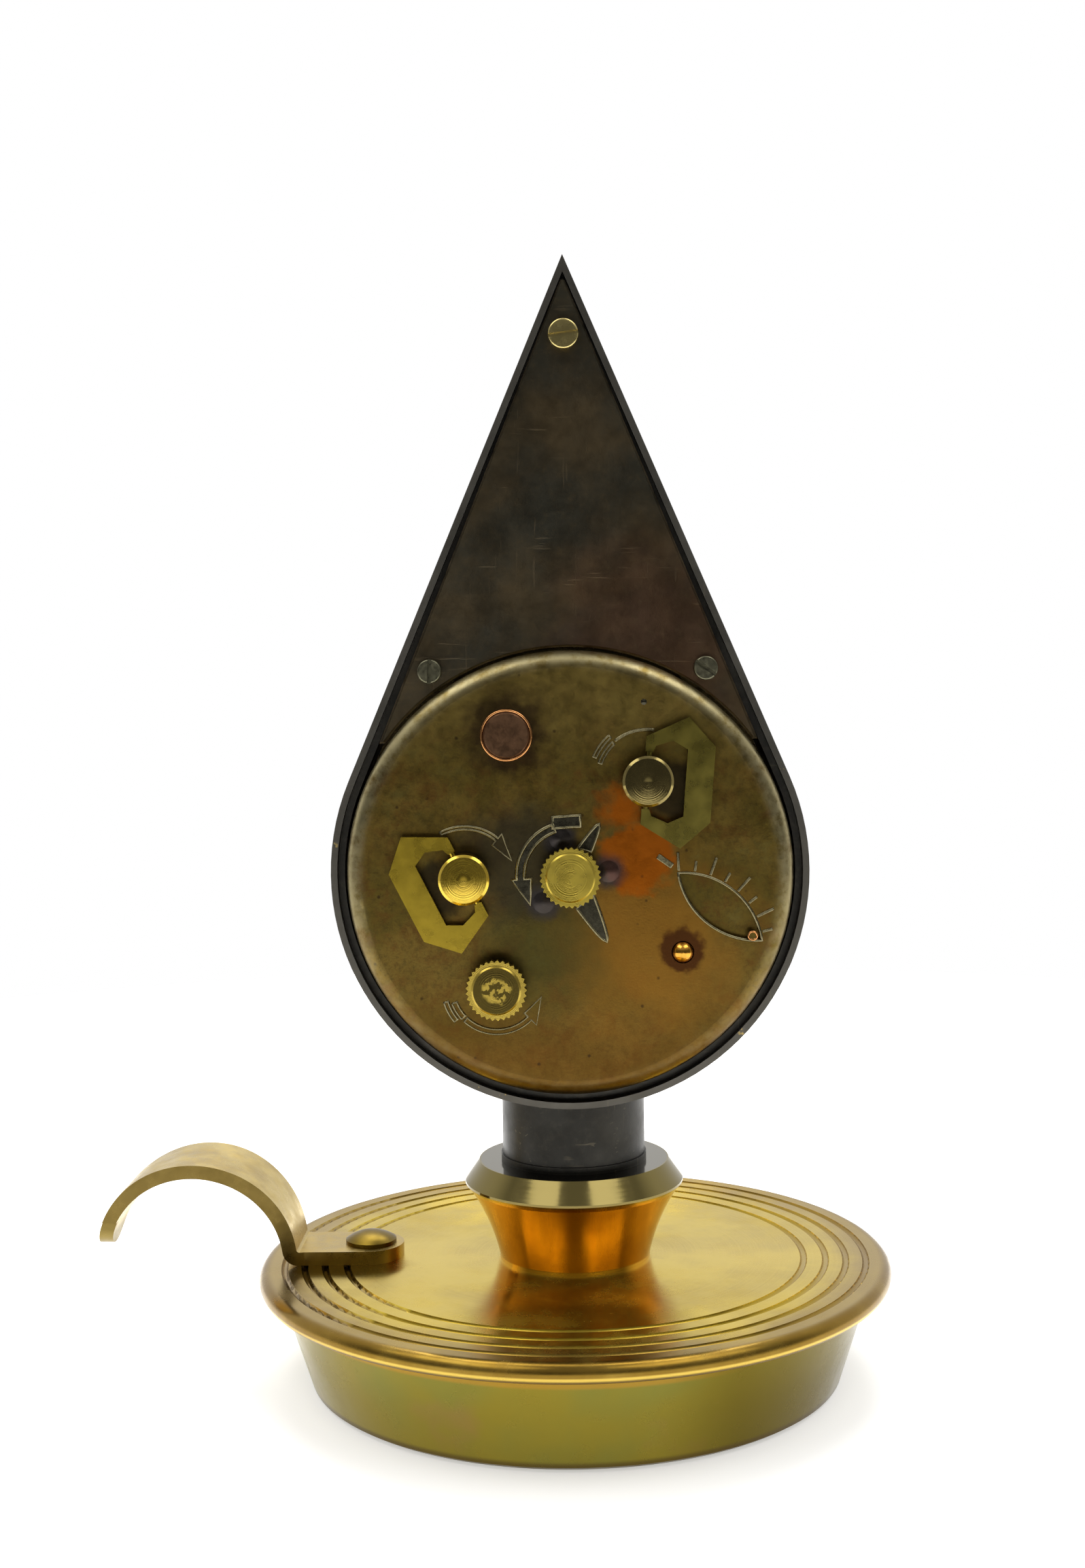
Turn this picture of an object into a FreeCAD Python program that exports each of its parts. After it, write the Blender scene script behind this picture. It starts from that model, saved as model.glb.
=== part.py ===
import FreeCAD, Part
import math
import os

# A small wind-up alarm clock shaped like a chamber candlestick: a flame-shaped
# case on a candle tube, held by a socket on a round dish base with a finger handle.
# Millimetres. +Z is up and z = 0 is the surface that it stands on. The dial faces -Y,
# the winding keys face +Y, and the carrying handle reaches towards +X.

V = FreeCAD.Vector
ALONG_X = V(1, 0, 0)
ALONG_Y = V(0, 1, 0)
ALONG_Z = V(0, 0, 1)

# Base
RIM_R = 41.0
RIM_NOSE_R = 1.25
BASE_TOP_Z = 15.0
TOP_SHEET = 1.0
GROOVE_RADII = (29.8, 32.6, 35.2, 37.75)
GROOVE_DEPTH = 0.4
GROOVE_HALF_WIDTH = 0.45
PAN_FOOT_R = 34.35
PAN_RIM_R = 38.3
PAN_WALL = 1.0
FELT_THICKNESS = 1.2
NUT_RECESS_R = 8.0
NUT_RECESS_TOP_Z = 6.0
WEIGHT_R = 31.0
WEIGHT_TOP_Z = 9.0

# Stem
SOCKET_FOOT = (9.85, 15.5)
SOCKET_FLARE_MIDDLE = (11.3, 20.0)
SOCKET_FLARE_TOP = (13.6, 24.3)
SOCKET_LIP_R = 14.2
SOCKET_LIP_Z0 = 25.0
SOCKET_LIP_Z1 = 25.3
SOCKET_FACE_R = 12.34
SOCKET_FACE_Z = 27.9
SOCKET_FLOOR_Z = 17.0
TUBE_R = 9.25
TUBE_WALL = 1.0
TUBE_RING_R = 9.45
TUBE_RING_HEIGHT = 0.9
TIE_ROD_R = 2.0
TIE_ROD_HEAD_R = 3.0

# Handle
STRIP_HALF_WIDTH = 4.5
STRIP_MIDDLE_HALF_WIDTH = 6.1
STRIP_TIP_HALF_WIDTH = 3.6
STRIP_THICKNESS = 1.75
STRIP_END_X = 22.5
ARCH_X = 49.1
ARCH_Z = 15.4
ARCH_R = 12.38
ARCH_END_Z = 17.1
BEND_R = 1.3
HANDLE_YAW = 1.2
RIVET_X = 26.8
RIVET_R = 3.3
RIVET_SIDE = 0.5
RIVET_DOME = 1.05
RIVET_TAIL_R = 2.4
RIVET_TAIL = 0.8

# Case: a circle with two tangent lines that meet at the flame's tip
CASE_R = 29.7
CASE_Z = 66.4
TIP_Z = 142.07
CASE_HALF_DEPTH = 11.0
CASE_WALL = 0.8
LEDGE_INSET = 1.6
LEDGE_Y0 = 8.7
LEDGE_Y1 = 9.5
FRONT_Y0 = -10.8
FRONT_Y1 = -10.0
WINDOW_R = 24.2
DIAL_R = 26.0
DIAL_Y0 = -7.9
DIAL_Y1 = -7.5

# Back plate and its screws
PLATE_Y0 = 9.8
PLATE_Y1 = 11.0
PLATE_TIP_Z = 139.75
PLATE_WING = (23.4, 82.8)
PLATE_ARC_R = 28.0
PLATE_TIP_R = 0.4
PLATE_BEVEL = 0.3
TOP_SCREW = (0.0, 132.4)
LOWER_SCREWS = ((17.0, 91.6), (-17.0, 91.6))
POST_R = 1.9
POST_GAP = 0.3

# Movement cover, a pressed can that is also the bell
COVER_R = 27.6
COVER_WALL = 0.6
COVER_BACK_Y = 13.5
COVER_EDGE_R = 2.0

# Movement plates
MAIN_PLATE_R = 27.9
MAIN_Y0 = -4.4
MAIN_Y1 = -3.2
REAR_PLATE_R = 26.3
REAR_Y0 = 7.0
REAR_Y1 = 8.2
PILLAR_R = 1.4
PILLAR_CIRCLE_R = 22.8
PILLAR_ANGLES = (45, 100, 165, 255, 318)

# Places on the movement, as (x, height above the movement's centre)
CENTRE = (0.0, 0.0)
TIME_KEY = (12.94, -0.07)
ALARM_KEY = (-9.56, 11.62)
ALARM_SET = (9.21, -13.68)
STOP_BUTTON = (7.62, 17.30)
BALANCE = (-13.74, -9.70)
PALLET = (-20.40, -6.46)
HAMMER = (3.50, 17.50)
HAMMER_HEAD = (9.85, 22.30)

# Wheels: teeth and module of each mesh
TIME_BARREL_TEETH = 72
INTERMEDIATE_PINION = 12
BARREL_MODULE = 0.28
INTERMEDIATE_TEETH = 60
CENTRE_PINION = 10
INTERMEDIATE_MODULE = 0.24
CENTRE_TEETH = 64
THIRD_PINION = 8
CENTRE_MODULE = 0.22
THIRD_TEETH = 60
FOURTH_PINION = 8
THIRD_MODULE = 0.20
FOURTH_TEETH = 70
ESCAPE_PINION = 7
FOURTH_MODULE = 0.16
CANNON_TEETH = 12
MINUTE_TEETH = 36
MINUTE_MODULE = 0.30
MINUTE_PINION = 12
HOUR_TEETH = 48
HOUR_MODULE = 0.24
ALARM_SET_TEETH = 28
ALARM_WHEEL_TEETH = 64
ALARM_BARREL_TEETH = 48
ALARM_ESCAPE_PINION = 8
ALARM_BARREL_MODULE = 0.29
ESCAPE_TEETH = 15
ESCAPE_R = 3.4
ALARM_ESCAPE_R = 3.5

# Direction of the first tooth of each large wheel
WHEEL_PHASE = 0.0

# Tooth flanks: radius past the pitch circle in modules, half width in tooth pitches
WHEEL_TOOTH = ((-1.25, 0.20), (0.0, 0.185), (0.45, 0.14), (0.80, 0.06))
PINION_TOOTH = ((-1.15, 0.14), (0.0, 0.185), (0.35, 0.15), (0.60, 0.07))

RUNNING_GAP = 0.05
PIVOT_R = 0.35
PIVOT_FRONT_Y = -4.1
PIVOT_REAR_Y = 7.9
SHOULDER_FRONT_Y = -3.1
SHOULDER_REAR_Y = 6.9

# Keys and knobs
KEY_POST_R = 3.1
KEY_POST_Y0 = 13.9
KEY_POST_Y1 = 17.0
KEY_CROWN_R = 2.8
KEY_CROWN_RISE = 0.15
KEY_HINGE_Y = 14.4
KEY_BOW_HALF_THICKNESS = 0.4
KEY_PIN_R = 0.35
TIME_BOW_ANGLE = -26.57
ALARM_BOW_ANGLE = 184.6
WINDING_ARBOR_R = 1.2
TIME_RATCHET_R = 5.5
ALARM_RATCHET_R = 4.5
KNOB_R = 3.72
KNOB_TEETH = 33
KNOB_KNURL_DEPTH = 0.28
KNOB_FACE_R = 3.03
KNOB_NECK_R = 2.4
CENTRE_ARBOR_R = 0.55
ALARM_SET_ARBOR_R = 0.5
BUTTON_R = 2.85
BEARING_STEM_R = 0.8
BEARING_FLANGE_R = 1.6
BEARING_FLANGE_Y = 9.2
BEARING_DOME_R = 1.3
BEARING_DOME_RISE = 0.9

# Regulator: its index pin moves in a lens-shaped slot in the cover
SLOT_MIDDLE = (-18.36, -4.12)
SLOT_ARC_R = 9.75
INDEX_R = 8.8
INDEX_REST_ANGLE = 166.9
SHIELD_INNER_R = 4.3
SHIELD_OUTER_R = 10.2
SHIELD_ANGLES = (82.0, 176.0)
SHIELD_Y0 = 12.3
SHIELD_Y1 = 12.7

# Hands, as clock-face degrees from twelve, seen from the front
MINUTE_HAND_AT = 60
HOUR_HAND_AT = 305
ALARM_HAND_AT = 210


# ---------------------------------------------------------------- geometry helpers

def at(place):
    """Movement place to (x, z) in the clock's frame."""
    return place[0], CASE_Z + place[1]


def between(a, b):
    return math.hypot(b[0] - a[0], b[1] - a[1])


def angle_of(a, b):
    """Direction from a to b in degrees, from +X towards +Z."""
    return math.degrees(math.atan2(b[1] - a[1], b[0] - a[0]))


def polar(centre, radius, degrees):
    turn = math.radians(degrees)
    return centre[0] + radius * math.cos(turn), centre[1] + radius * math.sin(turn)


def meeting_point(a, a_distance, b, b_distance, side):
    """The place at two given distances from two places; side is 1 or -1."""
    span = between(a, b)
    along = (a_distance ** 2 - b_distance ** 2 + span ** 2) / (2 * span)
    across = side * math.sqrt(a_distance ** 2 - along ** 2)
    foot = polar(a, along, angle_of(a, b))
    return polar(foot, across, angle_of(a, b) + 90)


def rod(place, radius, y0, y1):
    """Cylinder along Y at a movement place."""
    x, z = at(place)
    return Part.makeCylinder(radius, y1 - y0, V(x, y0, z), ALONG_Y)


def tube(place, radius, bore, y0, y1):
    return rod(place, radius, y0, y1).cut(rod(place, bore, y0, y1))


def joined(*shapes):
    return shapes[0].multiFuse(list(shapes[1:])).removeSplitter()


def outline(to_space, start, *segments):
    """Closed face: a segment is an end point, or (middle, end) for an arc."""
    edges = []
    here = start
    for segment in segments:
        if isinstance(segment[0], tuple):
            middle, end = segment
            arc = Part.Arc(to_space(*here), to_space(*middle), to_space(*end))
            edges.append(arc.toShape())
        else:
            end = segment
            edges.append(Part.makeLine(to_space(*here), to_space(*end)))
        here = end
    if between(here, start) > 1e-6:
        edges.append(Part.makeLine(to_space(*here), to_space(*start)))
    return Part.Face(Part.Wire(edges))


def turned_z(x, y, start, *segments):
    """Solid turned about a vertical axis from (radius, z) points."""
    face = outline(lambda r, z: V(x + r, y, z), start, *segments)
    return face.revolve(V(x, y, 0), ALONG_Z, 360)


def turned_y(place, start, *segments):
    """Solid turned about an axis along Y from (radius, y) points."""
    x, z = at(place)
    face = outline(lambda r, y: V(x + r, y, z), start, *segments)
    return face.revolve(V(x, 0, z), ALONG_Y, 360)


def dome(radius, foot, rise):
    """Middle and end of a ball-shaped cap's side, from its foot circle to its top."""
    ball_r = (radius ** 2 + rise ** 2) / (2 * rise)
    half_turn = math.asin(radius / ball_r) / 2
    middle = (ball_r * math.sin(half_turn), foot + rise - ball_r * (1 - math.cos(half_turn)))
    return middle, (0, foot + rise)


def slab(y0, y1, start, *segments):
    """Flat sheet between two Y levels from (x, z) points."""
    face = outline(lambda x, z: V(x, y0, z), start, *segments)
    return face.extrude(V(0, y1 - y0, 0))


def polygon(points, y0, y1):
    return slab(y0, y1, *points)


def strip(a, b, width, y0, y1):
    """Flat bar with round ends between two movement places."""
    half = width / 2
    side = angle_of(a, b) + 90
    corners = [polar(a, half, side), polar(b, half, side), polar(b, -half, side), polar(a, -half, side)]
    bar = polygon([at(corner) for corner in corners], y0, y1)
    return joined(bar, rod(a, half, y0, y1), rod(b, half, y0, y1))


def arbor(place, radius, y_pivots=(PIVOT_FRONT_Y, PIVOT_REAR_Y), pivot=PIVOT_R):
    """Wheel arbor with a thinner pivot at each end, shouldered between the plates."""
    body = rod(place, radius, SHOULDER_FRONT_Y, SHOULDER_REAR_Y)
    return joined(body, rod(place, pivot, y_pivots[0], y_pivots[1]))


def save(name, shape):
    if not shape.isValid() or shape.Volume <= 0:
        raise ValueError(name + " is not a sound solid")
    shape.exportStep("parts/" + name + ".step")
    print(name, "solids", len(shape.Solids), "volume %.2f" % shape.Volume)


# ---------------------------------------------------------------- toothed wheels

def toothed(teeth, module, place, y0, y1, phase, flank):
    """Toothed disc; phase is the direction of one tooth in degrees."""
    pitch = 360.0 / teeth
    pitch_r = teeth * module / 2
    points = []
    for index in range(teeth):
        middle = phase + index * pitch
        rising = [(pitch_r + rise * module, middle - half * pitch) for rise, half in flank]
        falling = [(pitch_r + rise * module, middle + half * pitch) for rise, half in reversed(flank)]
        for radius, degrees in rising + falling:
            points.append(at(polar(place, radius, degrees)))
    return polygon(points, y0, y1)


def mesh_phase(teeth_a, place_a, phase_a, teeth_b, place_b):
    """Phase that puts a gap of wheel b where a tooth of wheel a points at it."""
    pitch_a = 360.0 / teeth_a
    pitch_b = 360.0 / teeth_b
    share = ((angle_of(place_a, place_b) - phase_a) / pitch_a) % 1.0
    return angle_of(place_b, place_a) - pitch_b * (0.5 - share)


def saw_wheel(teeth, tip_r, root_r, place, y0, y1, lean):
    """Ratchet or escape wheel with pointed teeth that lean one way."""
    pitch = 360.0 / teeth
    points = []
    for index in range(teeth):
        points.append(at(polar(place, root_r, index * pitch)))
        points.append(at(polar(place, tip_r, index * pitch + lean * pitch)))
        points.append(at(polar(place, tip_r, index * pitch + (lean + 0.1) * pitch)))
    return polygon(points, y0, y1)


def crossed(wheel, place, pitch_r, hole_r, count, y0, y1):
    """Wheel with a ring of round lightening holes."""
    holes = [rod(polar(place, pitch_r, 360.0 / count * k), hole_r, y0, y1) for k in range(count)]
    return wheel.cut(Part.makeCompound(holes))


def spiral(place, inner_r, pitch, half_turns, thickness, y0, y1):
    """Flat spiral strip made of half circles that grow by half a pitch each."""
    x, z = at(place)
    half = thickness / 2
    outer_run = []
    inner_run = []
    for index in range(half_turns):
        side = 1 if index % 2 == 0 else -1
        radius = inner_r + index * pitch / 2 + pitch / 4
        middle_x = x + side * pitch / 4
        outer_run.append((middle_x, radius + half, side))
        inner_run.append((middle_x, radius - half, side))

    def half_circle(middle_x, radius, side):
        start = V(middle_x - side * radius, y0, z)
        middle = V(middle_x, y0, z + side * radius)
        end = V(middle_x + side * radius, y0, z)
        return Part.Arc(start, middle, end).toShape()

    out_edges = [half_circle(*run) for run in outer_run]
    in_edges = [half_circle(*run) for run in inner_run]
    first = Part.makeLine(in_edges[0].Vertexes[0].Point, out_edges[0].Vertexes[0].Point)
    last_out = outer_run[-1]
    last_in = inner_run[-1]
    end_out = V(last_out[0] + last_out[2] * last_out[1], y0, z)
    end_in = V(last_in[0] + last_in[2] * last_in[1], y0, z)
    last = Part.makeLine(end_out, end_in)
    face = Part.Face(Part.Wire(Part.__sortEdges__(out_edges + [last] + in_edges + [first])))
    return face.extrude(V(0, y1 - y0, 0))


# Wheel places that follow from the tooth counts
INTERMEDIATE = meeting_point(
    TIME_KEY, (TIME_BARREL_TEETH + INTERMEDIATE_PINION) * BARREL_MODULE / 2,
    CENTRE, (INTERMEDIATE_TEETH + CENTRE_PINION) * INTERMEDIATE_MODULE / 2, 1)
THIRD = polar(CENTRE, (CENTRE_TEETH + THIRD_PINION) * CENTRE_MODULE / 2, 215.0)
FOURTH = polar(THIRD, (THIRD_TEETH + FOURTH_PINION) * THIRD_MODULE / 2, 150.0)
ESCAPE = polar(FOURTH, (FOURTH_TEETH + ESCAPE_PINION) * FOURTH_MODULE / 2, 200.0)
MINUTE = polar(CENTRE, (CANNON_TEETH + MINUTE_TEETH) * MINUTE_MODULE / 2, 90.0)
ALARM_ESCAPE = polar(ALARM_KEY, (ALARM_BARREL_TEETH + ALARM_ESCAPE_PINION) * ALARM_BARREL_MODULE / 2, 20.8)
ALARM_SET_MODULE = 2 * between(CENTRE, ALARM_SET) / (ALARM_SET_TEETH + ALARM_WHEEL_TEETH)


# ---------------------------------------------------------------- base and stem

def base_felt():
    return Part.makeCylinder(PAN_FOOT_R - 1.2, FELT_THICKNESS)


def pan_radius(z):
    return PAN_FOOT_R + (PAN_RIM_R - PAN_FOOT_R) * z / (BASE_TOP_Z - 2 * RIM_NOSE_R)


def base_pan():
    top = BASE_TOP_Z - TOP_SHEET
    floor = FELT_THICKNESS
    recess = NUT_RECESS_R
    raised = NUT_RECESS_TOP_Z
    pan = turned_z(
        0, 0,
        (TIE_ROD_R, raised), (recess, raised), (recess, floor),
        (PAN_FOOT_R - 1.1, floor), (PAN_FOOT_R - 1.1, 0.25),
        (PAN_FOOT_R - 0.45, 0.25), (pan_radius(0.7), 0.7),
        (pan_radius(top), top), (pan_radius(top) - PAN_WALL, top),
        (pan_radius(floor + PAN_WALL) - PAN_WALL, floor + PAN_WALL),
        (recess + PAN_WALL, floor + PAN_WALL), (recess + PAN_WALL, raised + PAN_WALL),
        (TIE_ROD_R, raised + PAN_WALL))
    return pan


def base_weight():
    low = FELT_THICKNESS + PAN_WALL
    disc = Part.makeCylinder(WEIGHT_R, WEIGHT_TOP_Z - low, V(0, 0, low))
    return disc.cut(Part.makeCylinder(NUT_RECESS_R + 2.5, WEIGHT_TOP_Z, V(0, 0, 0)))


def rivet_place():
    return polar((0, 0), RIVET_X, -HANDLE_YAW)


def rivet_hole():
    """Hole through the base top and the strip's foot."""
    return Part.makeCylinder(RIVET_R / 2, 6, V(*rivet_place(), BASE_TOP_Z - 2))


def base_top():
    nose_middle = RIM_R - RIM_NOSE_R
    low = BASE_TOP_Z - 2 * RIM_NOSE_R
    under = BASE_TOP_Z - TOP_SHEET
    inner = pan_radius(under) + 0.2
    sheet = turned_z(
        0, 0,
        (TIE_ROD_R + 0.1, under), (TIE_ROD_R + 0.1, BASE_TOP_Z), (nose_middle, BASE_TOP_Z),
        ((RIM_R, BASE_TOP_Z - RIM_NOSE_R), (nose_middle, low)),
        (inner, low), (inner, under))
    for radius in GROOVE_RADII:
        groove = turned_z(
            0, 0,
            (radius - GROOVE_HALF_WIDTH, BASE_TOP_Z + 0.01),
            ((radius, BASE_TOP_Z - GROOVE_DEPTH), (radius + GROOVE_HALF_WIDTH, BASE_TOP_Z + 0.01)))
        sheet = sheet.cut(groove)
    return sheet.cut(rivet_hole())


def candle_socket():
    """Socket with a slightly hollow flare, a bevelled lip and a flat face about the tube."""
    bore = TUBE_R + 0.02
    return turned_z(
        0, 0,
        (TIE_ROD_R + 0.1, BASE_TOP_Z), (SOCKET_FOOT[0], BASE_TOP_Z), SOCKET_FOOT,
        (SOCKET_FLARE_MIDDLE, SOCKET_FLARE_TOP), (SOCKET_LIP_R, SOCKET_LIP_Z0),
        (SOCKET_LIP_R, SOCKET_LIP_Z1), (SOCKET_FACE_R, SOCKET_FACE_Z), (bore, SOCKET_FACE_Z),
        (bore, SOCKET_FLOOR_Z), (TIE_ROD_R + 0.1, SOCKET_FLOOR_Z))


def candle_tube():
    """Tube with a narrow ring where it stands on the socket."""
    outer = Part.makeCylinder(TUBE_R, CASE_Z - SOCKET_FLOOR_Z, V(0, 0, SOCKET_FLOOR_Z))
    ring = Part.makeCylinder(TUBE_RING_R, TUBE_RING_HEIGHT, V(0, 0, SOCKET_FACE_Z))
    bore = Part.makeCylinder(TUBE_R - TUBE_WALL, CASE_Z, V(0, 0, 0))
    saddle = rod(CENTRE, CASE_R + 0.02, -CASE_HALF_DEPTH, CASE_HALF_DEPTH)
    return joined(outer, ring).cut(bore).cut(saddle)


def tie_rod():
    inner_r = CASE_R - CASE_WALL
    foot_z = NUT_RECESS_TOP_Z - 3.4
    shank = Part.makeCylinder(TIE_ROD_R, CASE_Z - inner_r + 0.4 - foot_z, V(0, 0, foot_z))
    head = Part.makeCylinder(TIE_ROD_HEAD_R, 2.0, V(0, 0, CASE_Z - CASE_R))
    bowl = rod(CENTRE, inner_r - 0.01, -CASE_HALF_DEPTH, CASE_HALF_DEPTH)
    top = CASE_Z - inner_r + 0.85
    cap = Part.makeBox(8, 8, 4, V(-4, -4, top))
    return joined(shank, head.common(bowl).cut(cap))


def tie_rod_nut():
    across_flats = 7.0
    corner_r = across_flats / math.sqrt(3)
    top = NUT_RECESS_TOP_Z
    corners = [V(*polar((0, 0), corner_r, 60 * k), top - 3.0) for k in range(7)]
    nut = Part.Face(Part.makePolygon(corners)).extrude(V(0, 0, 3.0))
    return nut.cut(Part.makeCylinder(TIE_ROD_R, 8, V(0, 0, 0)))


# ---------------------------------------------------------------- carrying handle

def handle_strip():
    """Side outline of the bent strip, pulled across its width."""
    low = BASE_TOP_Z
    high = low + STRIP_THICKNESS
    half = STRIP_THICKNESS / 2
    middle_z = low + half
    drop = middle_z + BEND_R - ARCH_Z
    bend_x = ARCH_X - math.sqrt((ARCH_R + BEND_R) ** 2 - drop ** 2)
    bend = (bend_x, middle_z + BEND_R)
    touch = angle_of(bend, (ARCH_X, ARCH_Z))
    turn_middle = (touch - 90) / 2
    end_angle = math.degrees(math.asin((ARCH_END_Z - ARCH_Z) / ARCH_R))
    arch = (ARCH_X, ARCH_Z)
    face = outline(
        lambda x, z: V(x, -STRIP_MIDDLE_HALF_WIDTH, z),
        (STRIP_END_X, low), (bend_x, low),
        (polar(bend, BEND_R + half, turn_middle), polar(bend, BEND_R + half, touch)),
        (polar(arch, ARCH_R - half, 90), polar(arch, ARCH_R - half, end_angle)),
        polar(arch, ARCH_R + half, end_angle),
        (polar(arch, ARCH_R + half, 90), polar(bend, BEND_R - half, touch)),
        (polar(bend, BEND_R - half, turn_middle), (bend_x, high)),
        (STRIP_END_X, high))
    return face.extrude(V(0, 2 * STRIP_MIDDLE_HALF_WIDTH, 0))


def strip_plan():
    """Upright block with the strip's outline from above: it swells over the arch, then narrows."""
    swell_x = ARCH_X - ARCH_R - STRIP_THICKNESS
    tip_x = ARCH_X + ARCH_R + STRIP_THICKNESS
    round_x = STRIP_END_X + STRIP_HALF_WIDTH
    face = outline(
        lambda x, y: V(x, y, BASE_TOP_Z - 1),
        (round_x, -STRIP_HALF_WIDTH), (swell_x, -STRIP_HALF_WIDTH),
        ((ARCH_X, -STRIP_MIDDLE_HALF_WIDTH), (tip_x, -STRIP_TIP_HALF_WIDTH)),
        (tip_x, STRIP_TIP_HALF_WIDTH),
        ((ARCH_X, STRIP_MIDDLE_HALF_WIDTH), (swell_x, STRIP_HALF_WIDTH)),
        (round_x, STRIP_HALF_WIDTH),
        ((STRIP_END_X, 0), (round_x, -STRIP_HALF_WIDTH)))
    return face.extrude(V(0, 0, ARCH_Z + ARCH_R))


def carrying_handle():
    """Finger handle: the strip narrowed to its plan, its free end rounded, turned a little to -Y."""
    round_z = ARCH_END_Z + STRIP_TIP_HALF_WIDTH
    free_end = Part.makeBox(
        ARCH_R, 2 * STRIP_MIDDLE_HALF_WIDTH, STRIP_TIP_HALF_WIDTH + 1,
        V(ARCH_X + 4, -STRIP_MIDDLE_HALF_WIDTH, ARCH_END_Z - 1))
    free_end = free_end.cut(Part.makeCylinder(STRIP_TIP_HALF_WIDTH, 30, V(ARCH_X, 0, round_z), ALONG_X))
    handle = handle_strip().common(strip_plan()).cut(free_end)
    handle.rotate(V(0, 0, 0), ALONG_Z, -HANDLE_YAW)
    return handle.cut(rivet_hole())


def handle_rivet():
    seat = BASE_TOP_Z + STRIP_THICKNESS
    under = BASE_TOP_Z - TOP_SHEET
    side_top = seat + RIVET_SIDE
    shank_r = RIVET_R / 2
    x, y = rivet_place()
    return turned_z(
        x, y,
        (0, under - RIVET_TAIL), (RIVET_TAIL_R, under - RIVET_TAIL), (RIVET_TAIL_R, under),
        (shank_r, under), (shank_r, seat),
        (RIVET_R, seat), (RIVET_R, side_top), dome(RIVET_R, side_top, RIVET_DOME))


# ---------------------------------------------------------------- case

def flame(inset, y0, y1):
    """Slab of the case's flame outline, moved in by inset all round."""
    lean = math.asin(CASE_R / (TIP_Z - CASE_Z))
    radius = CASE_R - inset
    touch = (radius * math.cos(lean), CASE_Z + radius * math.sin(lean))
    tip = (0, CASE_Z + radius / math.sin(lean))
    return slab(y0, y1, (-touch[0], touch[1]), tip, touch, ((0, CASE_Z - radius), (-touch[0], touch[1])))


def case_band():
    """Flame-shaped band with a narrow ledge inside its back edge."""
    band = flame(0, -CASE_HALF_DEPTH, CASE_HALF_DEPTH)
    band = band.cut(flame(CASE_WALL, -CASE_HALF_DEPTH, CASE_HALF_DEPTH))
    ledge = flame(CASE_WALL - 0.1, LEDGE_Y0, LEDGE_Y1).cut(flame(LEDGE_INSET, LEDGE_Y0, LEDGE_Y1))
    places = (TOP_SCREW, *LOWER_SCREWS)
    posts = [rod(screw_at(*place), POST_R + POST_GAP, LEDGE_Y0, LEDGE_Y1) for place in places]
    band = joined(band, ledge.cut(Part.makeCompound(posts)))
    return band.cut(Part.makeCylinder(TIE_ROD_R + 0.1, CASE_Z - CASE_R + 5, V(0, 0, 0)))


def case_front():
    """Front sheet with its window, and the ring behind it that carries the dial."""
    sheet = flame(CASE_WALL + 0.02, FRONT_Y0, FRONT_Y1)
    ring = rod(CENTRE, WINDOW_R + 1.0, FRONT_Y0, DIAL_Y0)
    return joined(sheet, ring).cut(rod(CENTRE, WINDOW_R, FRONT_Y0, DIAL_Y0))


def bezel():
    seat = WINDOW_R - RUNNING_GAP
    return turned_y(
        CENTRE,
        (22.8, -12.0), (25.6, -12.0), ((26.58, -11.78), (27.0, FRONT_Y0)),
        (seat, FRONT_Y0), (seat, -9.9), (23.4, -9.9), (23.4, -11.3), (22.8, -11.5))


def crystal():
    return rod(CENTRE, 23.38, -11.3, -10.5)


def dial():
    face = rod(CENTRE, DIAL_R, DIAL_Y0, DIAL_Y1)
    feet = [rod(polar(CENTRE, 22.0, degrees), 0.8, DIAL_Y1, MAIN_Y0) for degrees in (90, 210, 330)]
    return joined(face, *feet).cut(rod(CENTRE, 2.0, DIAL_Y0, DIAL_Y1))


def screw_at(x, z):
    """Case place to movement place, so that the same rods serve for both."""
    return x, z - CASE_Z


def back_plate():
    wing_x, wing_z = PLATE_WING
    plate = polygon([(-wing_x, wing_z), (0, PLATE_TIP_Z), (wing_x, wing_z)], PLATE_Y0, PLATE_Y1)
    plate = plate.cut(rod(CENTRE, PLATE_ARC_R, PLATE_Y0, PLATE_Y1))
    tip = [edge for edge in plate.Edges if abs(edge.CenterOfMass.z - PLATE_TIP_Z) < 0.01]
    plate = plate.makeFillet(PLATE_TIP_R, tip)
    outer = [edge for edge in plate.Edges if abs(edge.CenterOfMass.y - PLATE_Y1) < 0.01]
    plate = plate.makeChamfer(PLATE_BEVEL, outer)
    plate = plate.cut(rod(screw_at(*TOP_SCREW), 1.05, PLATE_Y0, PLATE_Y1))
    for place in LOWER_SCREWS:
        plate = plate.cut(rod(screw_at(*place), 0.85, PLATE_Y0, PLATE_Y1))
    return plate


def back_plate_posts():
    """Top post, and two lower posts that clamp the movement plate's ears."""
    top = rod(screw_at(*TOP_SCREW), POST_R, FRONT_Y1, PLATE_Y0)
    posts = [top.cut(rod(screw_at(*TOP_SCREW), 1.0, 5.0, PLATE_Y0))]
    for place in LOWER_SCREWS:
        spot = screw_at(*place)
        front = rod(spot, POST_R, FRONT_Y1, MAIN_Y0).cut(rod(spot, 0.8, -7.0, MAIN_Y0))
        rear = joined(rod(spot, POST_R, MAIN_Y1, PLATE_Y0), rod(spot, 0.8, -6.8, MAIN_Y1))
        posts.append(front)
        posts.append(rear.cut(rod(spot, 0.8, 5.0, PLATE_Y0)))
    return Part.makeCompound(posts)


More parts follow.
